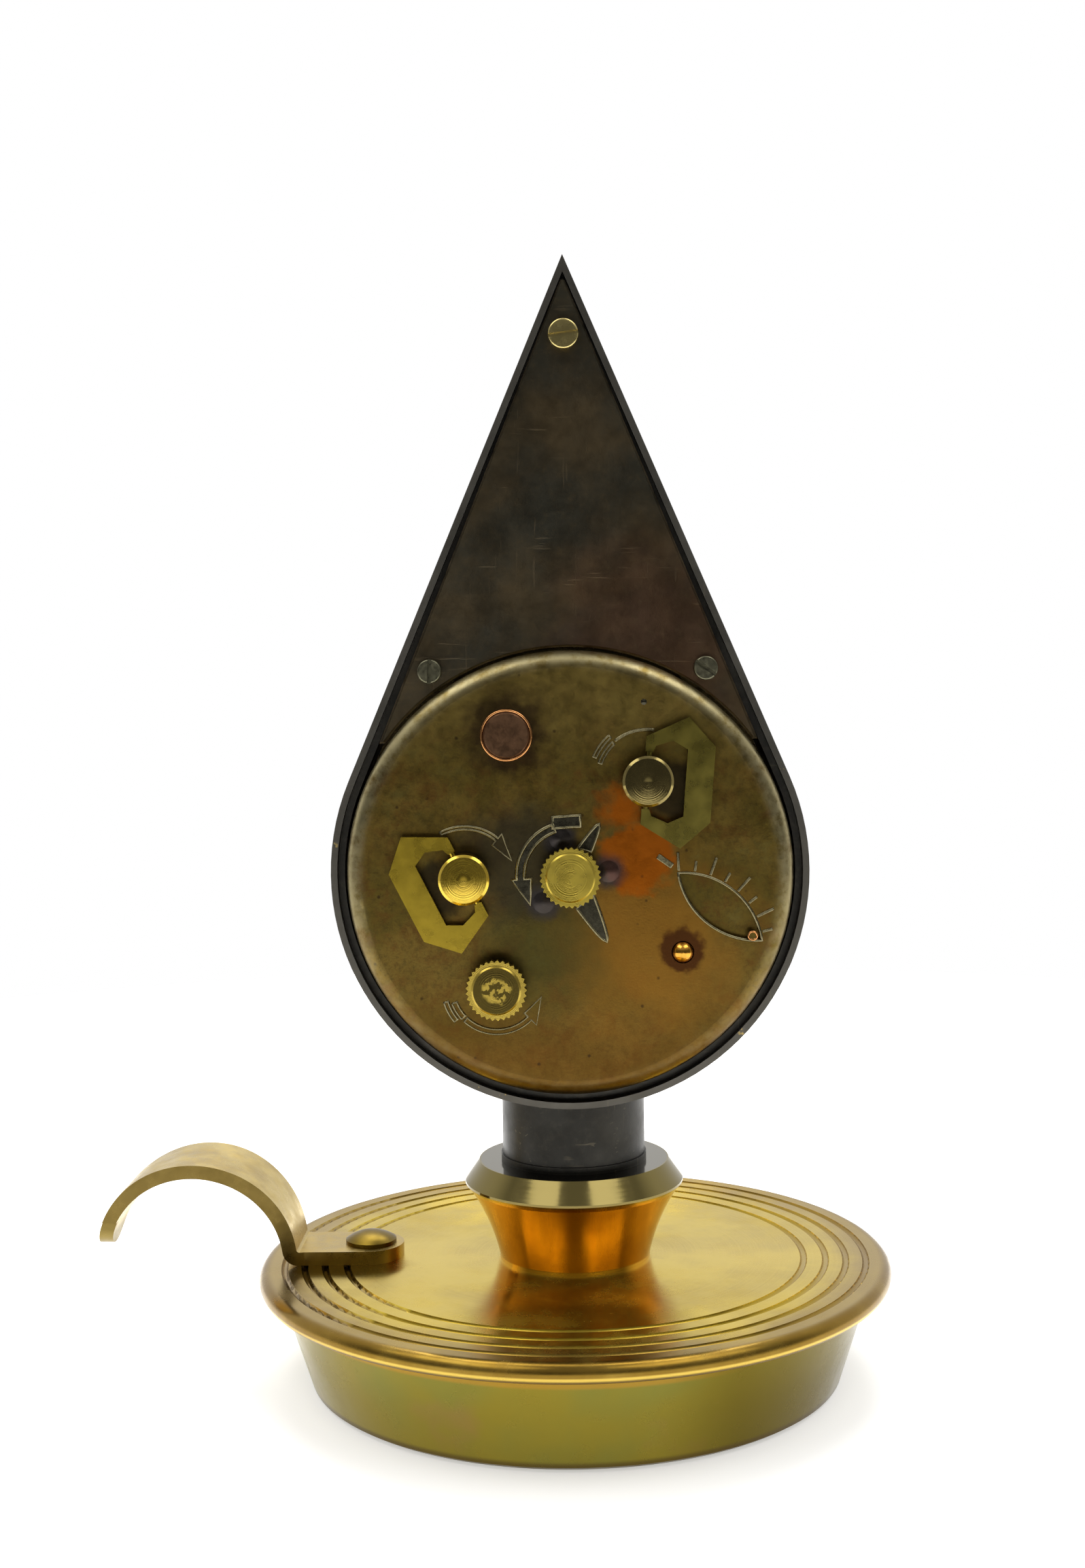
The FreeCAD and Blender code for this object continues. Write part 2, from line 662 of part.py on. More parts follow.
def slotted_screw(place, head_r, head_height, shank_r, y0, tip_y, slot_angle):
    """Cheese-head screw with its head towards +Y."""
    top = y0 + head_height
    edge = 0.25
    screw = turned_y(
        place,
        (0, tip_y), (shank_r, tip_y), (shank_r, y0), (head_r, y0), (head_r, top - edge),
        ((head_r - 0.07, top - 0.07), (head_r - edge, top)), (0, top))
    a = polar(place, head_r + 1, slot_angle)
    b = polar(place, head_r + 1, slot_angle + 180)
    return screw.cut(strip(a, b, 0.45, top - 0.45, top + 1))


def top_screw():
    return slotted_screw(screw_at(*TOP_SCREW), 1.85, 1.1, 1.0, PLATE_Y1, 5.5, 173)


def lower_screws():
    screws = []
    for place, slot_angle in zip(LOWER_SCREWS, (92, 35)):
        screws.append(slotted_screw(screw_at(*place), 1.5, 0.9, 0.8, PLATE_Y1, 5.5, slot_angle))
    return Part.makeCompound(screws)


# ---------------------------------------------------------------- movement cover

def slot_lens(y0, y1):
    """Regulator slot: two equal arcs, the upper one centred on the regulator's pivot."""
    far = (2 * SLOT_MIDDLE[0] - BALANCE[0], 2 * SLOT_MIDDLE[1] - BALANCE[1])
    return rod(BALANCE, SLOT_ARC_R, y0, y1).common(rod(far, SLOT_ARC_R, y0, y1))


def movement_cover():
    inner = COVER_R - COVER_WALL
    inside_y = COVER_BACK_Y - COVER_WALL
    flat_r = COVER_R - COVER_EDGE_R
    corner = math.sqrt(0.5)
    edge_inner = COVER_EDGE_R - COVER_WALL
    middle_y = COVER_BACK_Y - COVER_EDGE_R
    can = turned_y(
        CENTRE,
        (0, inside_y), (flat_r, inside_y),
        ((flat_r + edge_inner * corner, middle_y + edge_inner * corner), (inner, middle_y)),
        (inner, MAIN_Y1), (COVER_R, MAIN_Y1), (COVER_R, middle_y),
        ((flat_r + COVER_EDGE_R * corner, middle_y + COVER_EDGE_R * corner), (flat_r, COVER_BACK_Y)),
        (0, COVER_BACK_Y))
    holes = [
        rod(TIME_KEY, 1.8, inside_y, COVER_BACK_Y), rod(ALARM_KEY, 1.8, inside_y, COVER_BACK_Y),
        rod(CENTRE, 1.2, inside_y, COVER_BACK_Y), rod(ALARM_SET, 1.2, inside_y, COVER_BACK_Y),
        rod(STOP_BUTTON, BUTTON_R + 0.1, inside_y, COVER_BACK_Y),
        rod(BALANCE, BEARING_DOME_R + 0.1, inside_y, COVER_BACK_Y), slot_lens(inside_y, COVER_BACK_Y)]
    return can.cut(Part.makeCompound(holes))


# ---------------------------------------------------------------- movement frame

TRAIN_ARBORS = (INTERMEDIATE, THIRD, FOURTH, ESCAPE, PALLET, ALARM_ESCAPE, HAMMER)


def pillar_places():
    return [polar(CENTRE, PILLAR_CIRCLE_R, degrees) for degrees in PILLAR_ANGLES]


def main_plate():
    """Front movement plate with two ears, the minute wheel's stud and riveted pillars."""
    plate = rod(CENTRE, MAIN_PLATE_R, MAIN_Y0, MAIN_Y1)
    ears = [rod(screw_at(*place), 2.6, MAIN_Y0, MAIN_Y1) for place in LOWER_SCREWS]
    stud = rod(MINUTE, 0.5, -6.5, MAIN_Y1)
    pillars = [rod(place, PILLAR_R, MAIN_Y1, REAR_Y0) for place in pillar_places()]
    plate = joined(plate, stud, *ears, *pillars)
    holes = [rod(place, PIVOT_R + RUNNING_GAP, MAIN_Y0, MAIN_Y1) for place in TRAIN_ARBORS]
    holes += [rod(place, 0.8 + RUNNING_GAP, MAIN_Y0, MAIN_Y1) for place in (TIME_KEY, ALARM_KEY)]
    holes.append(rod(CENTRE, CENTRE_ARBOR_R + RUNNING_GAP, MAIN_Y0, MAIN_Y1))
    holes.append(rod(ALARM_SET, ALARM_SET_ARBOR_R + RUNNING_GAP, MAIN_Y0, MAIN_Y1))
    holes.append(rod(BALANCE, 0.2, MAIN_Y0, MAIN_Y1))
    holes += [rod(screw_at(*place), 0.8, MAIN_Y0, MAIN_Y1) for place in LOWER_SCREWS]
    holes += [rod(place, 0.7, 3.0, REAR_Y0) for place in pillar_places()]
    return plate.cut(Part.makeCompound(holes))


def rear_plate():
    plate = rod(CENTRE, REAR_PLATE_R, REAR_Y0, REAR_Y1)
    holes = [rod(place, PIVOT_R + RUNNING_GAP, REAR_Y0, REAR_Y1) for place in TRAIN_ARBORS]
    winding_r = WINDING_ARBOR_R + RUNNING_GAP
    holes += [rod(place, winding_r, REAR_Y0, REAR_Y1) for place in (TIME_KEY, ALARM_KEY)]
    holes.append(rod(CENTRE, CENTRE_ARBOR_R + RUNNING_GAP, REAR_Y0, REAR_Y1))
    holes.append(rod(ALARM_SET, ALARM_SET_ARBOR_R + RUNNING_GAP, REAR_Y0, REAR_Y1))
    holes.append(rod(BALANCE, BEARING_STEM_R, REAR_Y0, REAR_Y1))
    holes.append(rod(STOP_BUTTON, 0.8 + RUNNING_GAP, REAR_Y0, REAR_Y1))
    holes += [rod(place, 0.7, REAR_Y0, REAR_Y1) for place in pillar_places()]
    holes += [rod(place, 0.5, REAR_Y0, REAR_Y1) for place in (TIME_CLICK, ALARM_CLICK)]
    return plate.cut(Part.makeCompound(holes))


def movement_screws():
    """Five screws into the pillars, and the two shouldered screws of the clicks."""
    screws = []
    for turn, place in enumerate(pillar_places()):
        screws.append(slotted_screw(place, 1.4, 0.8, 0.7, REAR_Y1, 3.5, 37 * turn))
    for place in (TIME_CLICK, ALARM_CLICK):
        stud = rod(place, 0.5, 7.2, 9.3)
        screws.append(joined(stud, slotted_screw(place, 1.0, 0.6, 0.5, 9.2, 9.0, 20)))
    return Part.makeCompound(screws)


# ---------------------------------------------------------------- going train

def barrel(place, drum_r, teeth, module, y0, y1, phase):
    """Toothed flange and closed drum with room for the spring inside."""
    wall = 0.5
    flange = toothed(teeth, module, place, y0, y0 + 0.8, phase, WHEEL_TOOTH)
    drum = joined(flange, rod(place, drum_r, y0, y1))
    drum = drum.cut(rod(place, drum_r - wall, y0 + wall, y1 - wall))
    return drum.cut(rod(place, 1.5 + RUNNING_GAP, y0, y1))


def winding_arbor(place, ratchet_teeth, ratchet_r):
    """Barrel arbor with its ratchet wheel, behind the rear plate, made in one piece."""
    shaft = rod(place, WINDING_ARBOR_R, SHOULDER_REAR_Y, 16.0)
    body = rod(place, 1.5, SHOULDER_FRONT_Y, SHOULDER_REAR_Y)
    pivot = rod(place, 0.8, PIVOT_FRONT_Y, SHOULDER_FRONT_Y)
    ratchet = saw_wheel(ratchet_teeth, ratchet_r, ratchet_r - 0.65, place, 8.4, 9.1, 0.75)
    return joined(shaft, body, pivot, ratchet)



def time_barrel():
    return barrel(TIME_KEY, 9.2, TIME_BARREL_TEETH, BARREL_MODULE, -1.5, 5.4, WHEEL_PHASE)


def time_mainspring():
    return spiral(TIME_KEY, 2.6, 0.85, 13, 0.25, -0.8, 4.7)


def intermediate_wheel():
    pinion_phase = mesh_phase(TIME_BARREL_TEETH, TIME_KEY, WHEEL_PHASE, INTERMEDIATE_PINION, INTERMEDIATE)
    pinion = toothed(INTERMEDIATE_PINION, BARREL_MODULE, INTERMEDIATE, -1.7, -0.5, pinion_phase, PINION_TOOTH)
    wheel = toothed(
        INTERMEDIATE_TEETH, INTERMEDIATE_MODULE, INTERMEDIATE, -2.7, -2.2, WHEEL_PHASE, WHEEL_TOOTH)
    wheel = crossed(wheel, INTERMEDIATE, 4.2, 1.6, 5, -2.7, -2.2)
    return joined(arbor(INTERMEDIATE, 0.6), pinion, wheel)


def centre_wheel():
    pinion_phase = mesh_phase(INTERMEDIATE_TEETH, INTERMEDIATE, WHEEL_PHASE, CENTRE_PINION, CENTRE)
    pinion = toothed(CENTRE_PINION, INTERMEDIATE_MODULE, CENTRE, -2.9, -2.0, pinion_phase, PINION_TOOTH)
    wheel = toothed(CENTRE_TEETH, CENTRE_MODULE, CENTRE, 5.9, 6.4, WHEEL_PHASE, WHEEL_TOOTH)
    wheel = crossed(wheel, CENTRE, 4.0, 1.6, 5, 5.9, 6.4)
    hub = rod(CENTRE, 0.92, -2.9, 6.6)
    return joined(pinion, hub, wheel).cut(rod(CENTRE, CENTRE_ARBOR_R + RUNNING_GAP, -2.9, 6.6))


def third_wheel():
    pinion_phase = mesh_phase(CENTRE_TEETH, CENTRE, WHEEL_PHASE, THIRD_PINION, THIRD)
    pinion = toothed(THIRD_PINION, CENTRE_MODULE, THIRD, 5.6, 6.6, pinion_phase, PINION_TOOTH)
    wheel = toothed(THIRD_TEETH, THIRD_MODULE, THIRD, -1.6, -1.1, WHEEL_PHASE, WHEEL_TOOTH)
    wheel = crossed(wheel, THIRD, 3.5, 1.3, 5, -1.6, -1.1)
    return joined(arbor(THIRD, 0.5), pinion, wheel)


def fourth_wheel():
    pinion_phase = mesh_phase(THIRD_TEETH, THIRD, WHEEL_PHASE, FOURTH_PINION, FOURTH)
    pinion = toothed(FOURTH_PINION, THIRD_MODULE, FOURTH, -1.9, -0.8, pinion_phase, PINION_TOOTH)
    wheel = toothed(FOURTH_TEETH, FOURTH_MODULE, FOURTH, 0.2, 0.6, WHEEL_PHASE, WHEEL_TOOTH)
    wheel = crossed(wheel, FOURTH, 3.2, 1.2, 5, 0.2, 0.6)
    return joined(arbor(FOURTH, 0.45), pinion, wheel)


def escape_wheel():
    pinion_phase = mesh_phase(FOURTH_TEETH, FOURTH, WHEEL_PHASE, ESCAPE_PINION, ESCAPE)
    pinion = toothed(ESCAPE_PINION, FOURTH_MODULE, ESCAPE, 0.0, 0.8, pinion_phase, PINION_TOOTH)
    wheel = saw_wheel(ESCAPE_TEETH, ESCAPE_R, ESCAPE_R - 0.8, ESCAPE, 2.0, 2.4, 0.7)
    wheel = crossed(wheel, ESCAPE, 1.5, 0.55, 5, 2.0, 2.4)
    return joined(arbor(ESCAPE, 0.36, pivot=0.3), pinion, wheel)


def pallet_lever():
    """Pin lever, with its two pins held just clear of the escape wheel."""
    toward = angle_of(ESCAPE, PALLET)
    parts = [arbor(PALLET, 0.4), rod(PALLET, 0.8, 2.7, 3.1)]
    for side in (-1, 1):
        pin = polar(ESCAPE, 3.9, toward + side * 35)
        parts.append(strip(PALLET, pin, 0.5, 2.7, 3.1))
        parts.append(rod(pin, 0.15, 1.9, 2.9))
    fork = angle_of(PALLET, BALANCE)
    parts.append(strip(PALLET, polar(PALLET, 5.0, fork), 0.5, 2.7, 3.1))
    for side in (-1, 1):
        root = polar(PALLET, 5.0, fork)
        tine = polar(PALLET, 5.75, fork + side * 4.5)
        parts.append(strip(root, tine, 0.3, 2.7, 3.1))
    return joined(*parts)


def balance_wheel():
    """Rim, two arms, staff, and a roller whose pin meets the lever's fork."""
    toward_lever = angle_of(BALANCE, PALLET)
    arm = toward_lever + 90
    rim = tube(BALANCE, 6.6, 5.8, 3.7, 4.3)
    arms = strip(polar(BALANCE, 6.1, arm), polar(BALANCE, -6.1, arm), 1.0, 3.8, 4.2)
    staff = rod(BALANCE, 0.35, SHOULDER_FRONT_Y, 6.5)
    pivots = rod(BALANCE, 0.15, -4.0, 7.1)
    roller = rod(BALANCE, 1.5, 3.2, 3.5)
    pin = rod(polar(BALANCE, 1.15, toward_lever), 0.12, 2.75, 3.3)
    hub = rod(BALANCE, 1.0, 3.4, 4.4)
    return joined(rim, arms, staff, pivots, roller, pin, hub)


def hairspring():
    """Spiral and the stud that pins its outer end to the rear plate."""
    coil = spiral(BALANCE, 1.0, 0.5, 13, 0.12, 5.0, 5.4)
    outer = 1.0 + 13 * 0.25
    stud = rod((BALANCE[0] + outer + 0.3, BALANCE[1]), 0.35, 4.9, REAR_Y0)
    return joined(coil, stud)


def balance_bearing_screw():
    """Threaded bearing in the rear plate, its domed end showing through the cover."""
    bore, bore_end_y, low_y = 0.2, 7.4, 6.7
    return turned_y(
        BALANCE,
        (bore, low_y), (BEARING_STEM_R, low_y), (BEARING_STEM_R, REAR_Y1),
        (BEARING_FLANGE_R, REAR_Y1), (BEARING_FLANGE_R, BEARING_FLANGE_Y),
        (BEARING_DOME_R, BEARING_FLANGE_Y), (BEARING_DOME_R, COVER_BACK_Y),
        dome(BEARING_DOME_R, COVER_BACK_Y, BEARING_DOME_RISE), (0, bore_end_y), (bore, bore_end_y))


def dust_shield(y0, y1):
    """Sector of a ring, carried under the slot so that no dust falls through it."""
    start, end = SHIELD_ANGLES
    middle = (start + end) / 2
    return slab(
        y0, y1,
        at(polar(BALANCE, SHIELD_INNER_R, start)), at(polar(BALANCE, SHIELD_OUTER_R, start)),
        (at(polar(BALANCE, SHIELD_OUTER_R, middle)), at(polar(BALANCE, SHIELD_OUTER_R, end))),
        at(polar(BALANCE, SHIELD_INNER_R, end)),
        (at(polar(BALANCE, SHIELD_INNER_R, middle)), at(polar(BALANCE, SHIELD_INNER_R, start))))


def regulator_lever():
    """Lever that turns about the balance bearing; its index pin stands in the cover's slot."""
    y0, y1 = 8.4, 8.9
    index = polar(BALANCE, INDEX_R, INDEX_REST_ANGLE)
    ring = rod(BALANCE, 2.6, y0, y1)
    arm = strip(polar(BALANCE, 2.0, INDEX_REST_ANGLE), index, 1.4, y0, y1)
    pin = rod(index, 0.45, y0, 13.7)
    head = rod(index, 0.6, 13.65, 14.0)
    lever = joined(ring, arm, pin, head, dust_shield(SHIELD_Y0, SHIELD_Y1))
    return lever.cut(rod(BALANCE, BEARING_FLANGE_R + RUNNING_GAP, y0, y1))


# ---------------------------------------------------------------- hands and motion work

def cannon_pinion():
    teeth = toothed(CANNON_TEETH, MINUTE_MODULE, CENTRE, -5.4, -4.6, 0.0, PINION_TOOTH)
    pipe = rod(CENTRE, 0.95, -9.7, -4.6)
    return joined(teeth, pipe).cut(rod(CENTRE, CENTRE_ARBOR_R, -9.7, -4.6))


def centre_arbor():
    return rod(CENTRE, CENTRE_ARBOR_R, -9.7, 16.3)


def minute_wheel():
    phase = mesh_phase(CANNON_TEETH, CENTRE, 0.0, MINUTE_TEETH, MINUTE)
    wheel = toothed(MINUTE_TEETH, MINUTE_MODULE, MINUTE, -5.3, -4.8, phase, WHEEL_TOOTH)
    wheel = crossed(wheel, MINUTE, 3.2, 1.0, 5, -5.3, -4.8)
    pinion = toothed(MINUTE_PINION, HOUR_MODULE, MINUTE, -6.4, -5.3, 0.0, PINION_TOOTH)
    return joined(wheel, pinion).cut(rod(MINUTE, 0.5 + RUNNING_GAP, -6.4, -4.8))


def hour_wheel():
    phase = mesh_phase(MINUTE_PINION, MINUTE, 0.0, HOUR_TEETH, CENTRE)
    wheel = toothed(HOUR_TEETH, HOUR_MODULE, CENTRE, -6.2, -5.8, phase, WHEEL_TOOTH)
    pipe = rod(CENTRE, 1.4, -9.0, -5.8)
    return joined(wheel, pipe).cut(rod(CENTRE, 0.95 + RUNNING_GAP, -9.0, -5.8))


def alarm_wheel():
    wheel = toothed(ALARM_WHEEL_TEETH, ALARM_SET_MODULE, CENTRE, -7.0, -6.6, 0.0, WHEEL_TOOTH)
    wheel = crossed(wheel, CENTRE, 6.5, 2.2, 6, -7.0, -6.6)
    pipe = rod(CENTRE, 1.85, -8.3, -6.6)
    return joined(wheel, pipe).cut(rod(CENTRE, 1.4 + RUNNING_GAP, -8.3, -6.6))


def alarm_set_arbor():
    phase = mesh_phase(ALARM_WHEEL_TEETH, CENTRE, 0.0, ALARM_SET_TEETH, ALARM_SET)
    wheel = toothed(ALARM_SET_TEETH, ALARM_SET_MODULE, ALARM_SET, -7.1, -6.5, phase, WHEEL_TOOTH)
    wheel = crossed(wheel, ALARM_SET, 3.0, 1.0, 5, -7.1, -6.5)
    return joined(wheel, rod(ALARM_SET, ALARM_SET_ARBOR_R, -7.2, 16.3))


def hand(length, width, tail, at_degrees, hub_r, bore, y0, y1):
    """Leaf-shaped hand; at_degrees runs clockwise from twelve, seen from the front."""
    direction = 90 - at_degrees
    side = direction + 90
    leaf = [(-tail, 0.35), (0, 0.45), (0.35 * length, 0.4), (0.62 * length, 1.0), (length, 0.08)]
    half = width / 2
    left = [polar(polar(CENTRE, along, direction), wide * half, side) for along, wide in leaf]
    right = [polar(polar(CENTRE, along, direction), -wide * half, side) for along, wide in reversed(leaf)]
    blade = polygon([at(point) for point in left + right], y0, y1)
    return joined(blade, rod(CENTRE, hub_r, y0, y1)).cut(rod(CENTRE, bore, y0, y1))


def minute_hand():
    return hand(19.0, 1.9, 3.5, MINUTE_HAND_AT, 1.9, 0.95, -9.65, -9.35)


def hour_hand():
    return hand(13.0, 2.6, 2.5, HOUR_HAND_AT, 2.3, 1.4, -8.95, -8.65)


def alarm_hand():
    return hand(9.5, 1.3, 2.4, ALARM_HAND_AT, 2.6, 1.85, -8.3, -8.1)


# ---------------------------------------------------------------- alarm work

def alarm_barrel():
    return barrel(ALARM_KEY, 6.4, ALARM_BARREL_TEETH, ALARM_BARREL_MODULE, -1.5, 5.4, 0.0)


def alarm_mainspring():
    return spiral(ALARM_KEY, 2.3, 0.75, 8, 0.22, -0.8, 4.7)


def alarm_escape_wheel():
    phase = mesh_phase(ALARM_BARREL_TEETH, ALARM_KEY, 0.0, ALARM_ESCAPE_PINION, ALARM_ESCAPE)
    pinion = toothed(ALARM_ESCAPE_PINION, ALARM_BARREL_MODULE, ALARM_ESCAPE, -1.7, -0.5, phase, PINION_TOOTH)
    wheel = saw_wheel(ESCAPE_TEETH, ALARM_ESCAPE_R, ALARM_ESCAPE_R - 0.8, ALARM_ESCAPE, 5.8, 6.3, 0.5)
    return joined(arbor(ALARM_ESCAPE, 0.5), pinion, wheel)


def hammer():
    """Hammer that strikes the cover's wall, and its two pins beside the alarm escape wheel."""
    toward = angle_of(ALARM_ESCAPE, HAMMER)
    parts = [arbor(HAMMER, 0.45), rod(HAMMER, 1.0, 3.3, 5.6)]
    for side in (-1, 1):
        pin = polar(ALARM_ESCAPE, 4.3, toward + side * 30)
        parts.append(strip(HAMMER, pin, 0.6, 5.0, 5.5))
        parts.append(rod(pin, 0.2, 5.2, 6.5))
    parts.append(strip(HAMMER, HAMMER_HEAD, 1.0, 3.5, 4.2))
    parts.append(rod(HAMMER_HEAD, 1.5, 2.6, 5.0))
    return joined(*parts)


def stop_button():
    return turned_y(
        STOP_BUTTON,
        (0, 6.2), (0.8, 6.2), (0.8, 11.9), (3.4, 11.9), (3.4, 12.4), (BUTTON_R, 12.4),
        (BUTTON_R, 13.6), (BUTTON_R - 0.2, 13.8), (0, 13.8))


def stop_button_spring():
    x, z = at(STOP_BUTTON)
    coil_r = 1.5
    wire_r = 0.18
    path = Part.Wire(Part.makeHelix(0.65, 1.95, coil_r))
    ring = Part.Wire(Part.makeCircle(wire_r, V(coil_r, 0, 0), ALONG_Y))
    coil = path.makePipeShell([ring], True, True)
    coil.rotate(V(0, 0, 0), ALONG_X, -90)
    coil.translate(V(x, 9.7, z))
    return coil


# ---------------------------------------------------------------- winding

def time_winding_arbor():
    return winding_arbor(TIME_KEY, 30, TIME_RATCHET_R)


def alarm_winding_arbor():
    return winding_arbor(ALARM_KEY, 24, ALARM_RATCHET_R)


TIME_CLICK = polar(TIME_KEY, 7.9, -62)
ALARM_CLICK = polar(ALARM_KEY, 6.8, 100)


def click(wheel_place, wheel_r, pivot, beak_angle):
    """Click with its beak held just clear of the ratchet wheel's teeth."""
    beak = polar(wheel_place, wheel_r + 0.2, beak_angle)
    outer = polar(wheel_place, wheel_r + 1.4, beak_angle)
    tail = polar(pivot, 1.1, angle_of(wheel_place, pivot))
    body = polygon([at(beak), at(outer), at(tail), at(pivot)], 8.4, 9.1)
    return joined(body, rod(pivot, 1.15, 8.4, 9.1)).cut(rod(pivot, 0.5 + RUNNING_GAP, 8.4, 9.1))


def time_click():
    return click(TIME_KEY, TIME_RATCHET_R, TIME_CLICK, -28)


def alarm_click():
    return click(ALARM_KEY, ALARM_RATCHET_R, ALARM_CLICK, 140)


def key_post(place, bow_angle):
    """Round post with a cross hole for the bow's pins, fixed on the winding arbor."""
    edge = KEY_POST_R - KEY_CROWN_R
    post = turned_y(
        place,
        (0, KEY_POST_Y0), (KEY_POST_R, KEY_POST_Y0), (KEY_POST_R, KEY_POST_Y1 - edge),
        (KEY_CROWN_R, KEY_POST_Y1), dome(KEY_CROWN_R, KEY_POST_Y1, KEY_CROWN_RISE))
    post = post.cut(rod(place, WINDING_ARBOR_R, KEY_POST_Y0, 16.0))
    for side in (90, -90):
        post = post.cut(cross_pin(place, bow_angle + side, 2.3, KEY_POST_R + 1, KEY_PIN_R + RUNNING_GAP))
    return post


def cross_pin(place, degrees, start, end, radius):
    """Cylinder along a key's hinge line, between two distances from its centre."""
    x0, z0 = at(polar(place, start, degrees))
    x1, z1 = at(polar(place, end, degrees))
    return Part.makeCylinder(radius, end - start, V(x0, KEY_HINGE_Y, z0), V(x1 - x0, 0, z1 - z0))


def key_bow(place, bow_angle):
    """Folding bow: half of its outline is (across, out) from the hinge, the rest mirrors it."""
    outer = ((3.5, -0.5), (5.4, -0.5), (8.05, 4.55), (4.65, 8.0))
    inner = ((4.1, 4.65), (5.05, 2.8), (4.3, 0.75), (3.5, 0.44))

    def spot(across, out):
        return at(polar(polar(place, out, bow_angle), across, bow_angle + 90))

    points = [spot(a, b) for a, b in outer]
    points += [spot(-a, b) for a, b in reversed(outer)]
    points += [spot(-a, b) for a, b in reversed(inner)]
    points += [spot(a, b) for a, b in inner]
    low = KEY_HINGE_Y - KEY_BOW_HALF_THICKNESS
    high = KEY_HINGE_Y + KEY_BOW_HALF_THICKNESS
    bow = polygon(points, low, high)
    pins = [cross_pin(place, bow_angle + side, 2.4, 4.0, KEY_PIN_R) for side in (90, -90)]
    return joined(bow, *pins)


def knob(place, arbor_r):
    """Knurled knob: neck, knurled head and a raised round face."""
    rim = saw_wheel(KNOB_TEETH, KNOB_R, KNOB_R - KNOB_KNURL_DEPTH, place, 15.1, 16.4, 0.45)
    neck = rod(place, KNOB_NECK_R, KEY_POST_Y0, 15.1)
    face = turned_y(
        place,
        (0, 16.0), (KNOB_FACE_R, 16.0), (KNOB_FACE_R, 16.5), (KNOB_FACE_R - 0.2, 16.7), (0, 16.7))
    return joined(rim, neck, face).cut(rod(place, arbor_r, KEY_POST_Y0, 16.3))


PARTS = {
    "base_felt": base_felt,
    "base_pan": base_pan,
    "base_weight": base_weight,
    "base_top": base_top,
    "tie_rod": tie_rod,
    "tie_rod_nut": tie_rod_nut,
    "candle_socket": candle_socket,
    "candle_tube": candle_tube,
    "carrying_handle": carrying_handle,
    "handle_rivet": handle_rivet,
    "case_band": case_band,
    "case_front": case_front,
    "bezel": bezel,
    "crystal": crystal,
    "dial": dial,
    "back_plate": back_plate,
    "back_plate_posts": back_plate_posts,
    "top_screw": top_screw,
    "lower_screws": lower_screws,
    "movement_cover": movement_cover,
    "main_plate": main_plate,
    "rear_plate": rear_plate,
    "movement_screws": movement_screws,
    "time_barrel": time_barrel,
    "time_mainspring": time_mainspring,
    "intermediate_wheel": intermediate_wheel,
    "centre_wheel": centre_wheel,
    "third_wheel": third_wheel,
    "fourth_wheel": fourth_wheel,
    "escape_wheel": escape_wheel,
    "pallet_lever": pallet_lever,
    "balance_wheel": balance_wheel,
    "hairspring": hairspring,
    "balance_bearing_screw": balance_bearing_screw,
    "regulator_lever": regulator_lever,
    "centre_arbor": centre_arbor,
    "cannon_pinion": cannon_pinion,
    "minute_wheel": minute_wheel,
    "hour_wheel": hour_wheel,
    "alarm_wheel": alarm_wheel,
    "alarm_set_arbor": alarm_set_arbor,
    "minute_hand": minute_hand,
    "hour_hand": hour_hand,
    "alarm_hand": alarm_hand,
    "alarm_barrel": alarm_barrel,
    "alarm_mainspring": alarm_mainspring,
    "alarm_escape_wheel": alarm_escape_wheel,
    "hammer": hammer,
    "stop_button": stop_button,
    "stop_button_spring": stop_button_spring,
    "time_winding_arbor": time_winding_arbor,
    "alarm_winding_arbor": alarm_winding_arbor,
    "time_click": time_click,
    "alarm_click": alarm_click,
    "time_key_post": lambda: key_post(TIME_KEY, TIME_BOW_ANGLE),
    "time_key_bow": lambda: key_bow(TIME_KEY, TIME_BOW_ANGLE),
    "alarm_key_post": lambda: key_post(ALARM_KEY, ALARM_BOW_ANGLE),
    "alarm_key_bow": lambda: key_bow(ALARM_KEY, ALARM_BOW_ANGLE),
    "hand_set_knob": lambda: knob(CENTRE, CENTRE_ARBOR_R),
    "alarm_set_knob": lambda: knob(ALARM_SET, ALARM_SET_ARBOR_R),
}


def main():
    os.makedirs("parts", exist_ok=True)
    for name, make in PARTS.items():
        save(name, make())


main()
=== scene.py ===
import math

import bmesh
import bpy
from mathutils import Matrix, Vector


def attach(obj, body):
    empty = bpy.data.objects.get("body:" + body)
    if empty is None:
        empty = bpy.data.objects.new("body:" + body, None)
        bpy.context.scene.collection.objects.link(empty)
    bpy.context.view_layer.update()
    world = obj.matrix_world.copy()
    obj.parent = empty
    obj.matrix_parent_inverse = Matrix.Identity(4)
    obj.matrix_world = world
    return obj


# Looks of the candlestick alarm clock. Lengths in the tables below are millimetres in the
# clock's own frame: +Z up, +Y out of the back where the keys are, +X towards the handle.
MM = 0.001

# Camera, solved from the base rim and the outline of the case
FOCAL_SHARE = 2872.2 / 2307
CAMERA_DISTANCE = 252.0
CAMERA_HEIGHT = 93.1
CAMERA_AZIMUTH = 0.067
CAMERA_PITCH = 3.708
CAMERA_ROLL = -0.764
CAMERA_SHIFT = -38.9 / 2307

# Studio, with sizes in metres and brightness as a share of plain white
FLOOR_R = 0.33
CEILING = 0.42
BACKDROP = 0.95
ROOM_DARK = 0.09
FLOOR_GLOW = 0.50

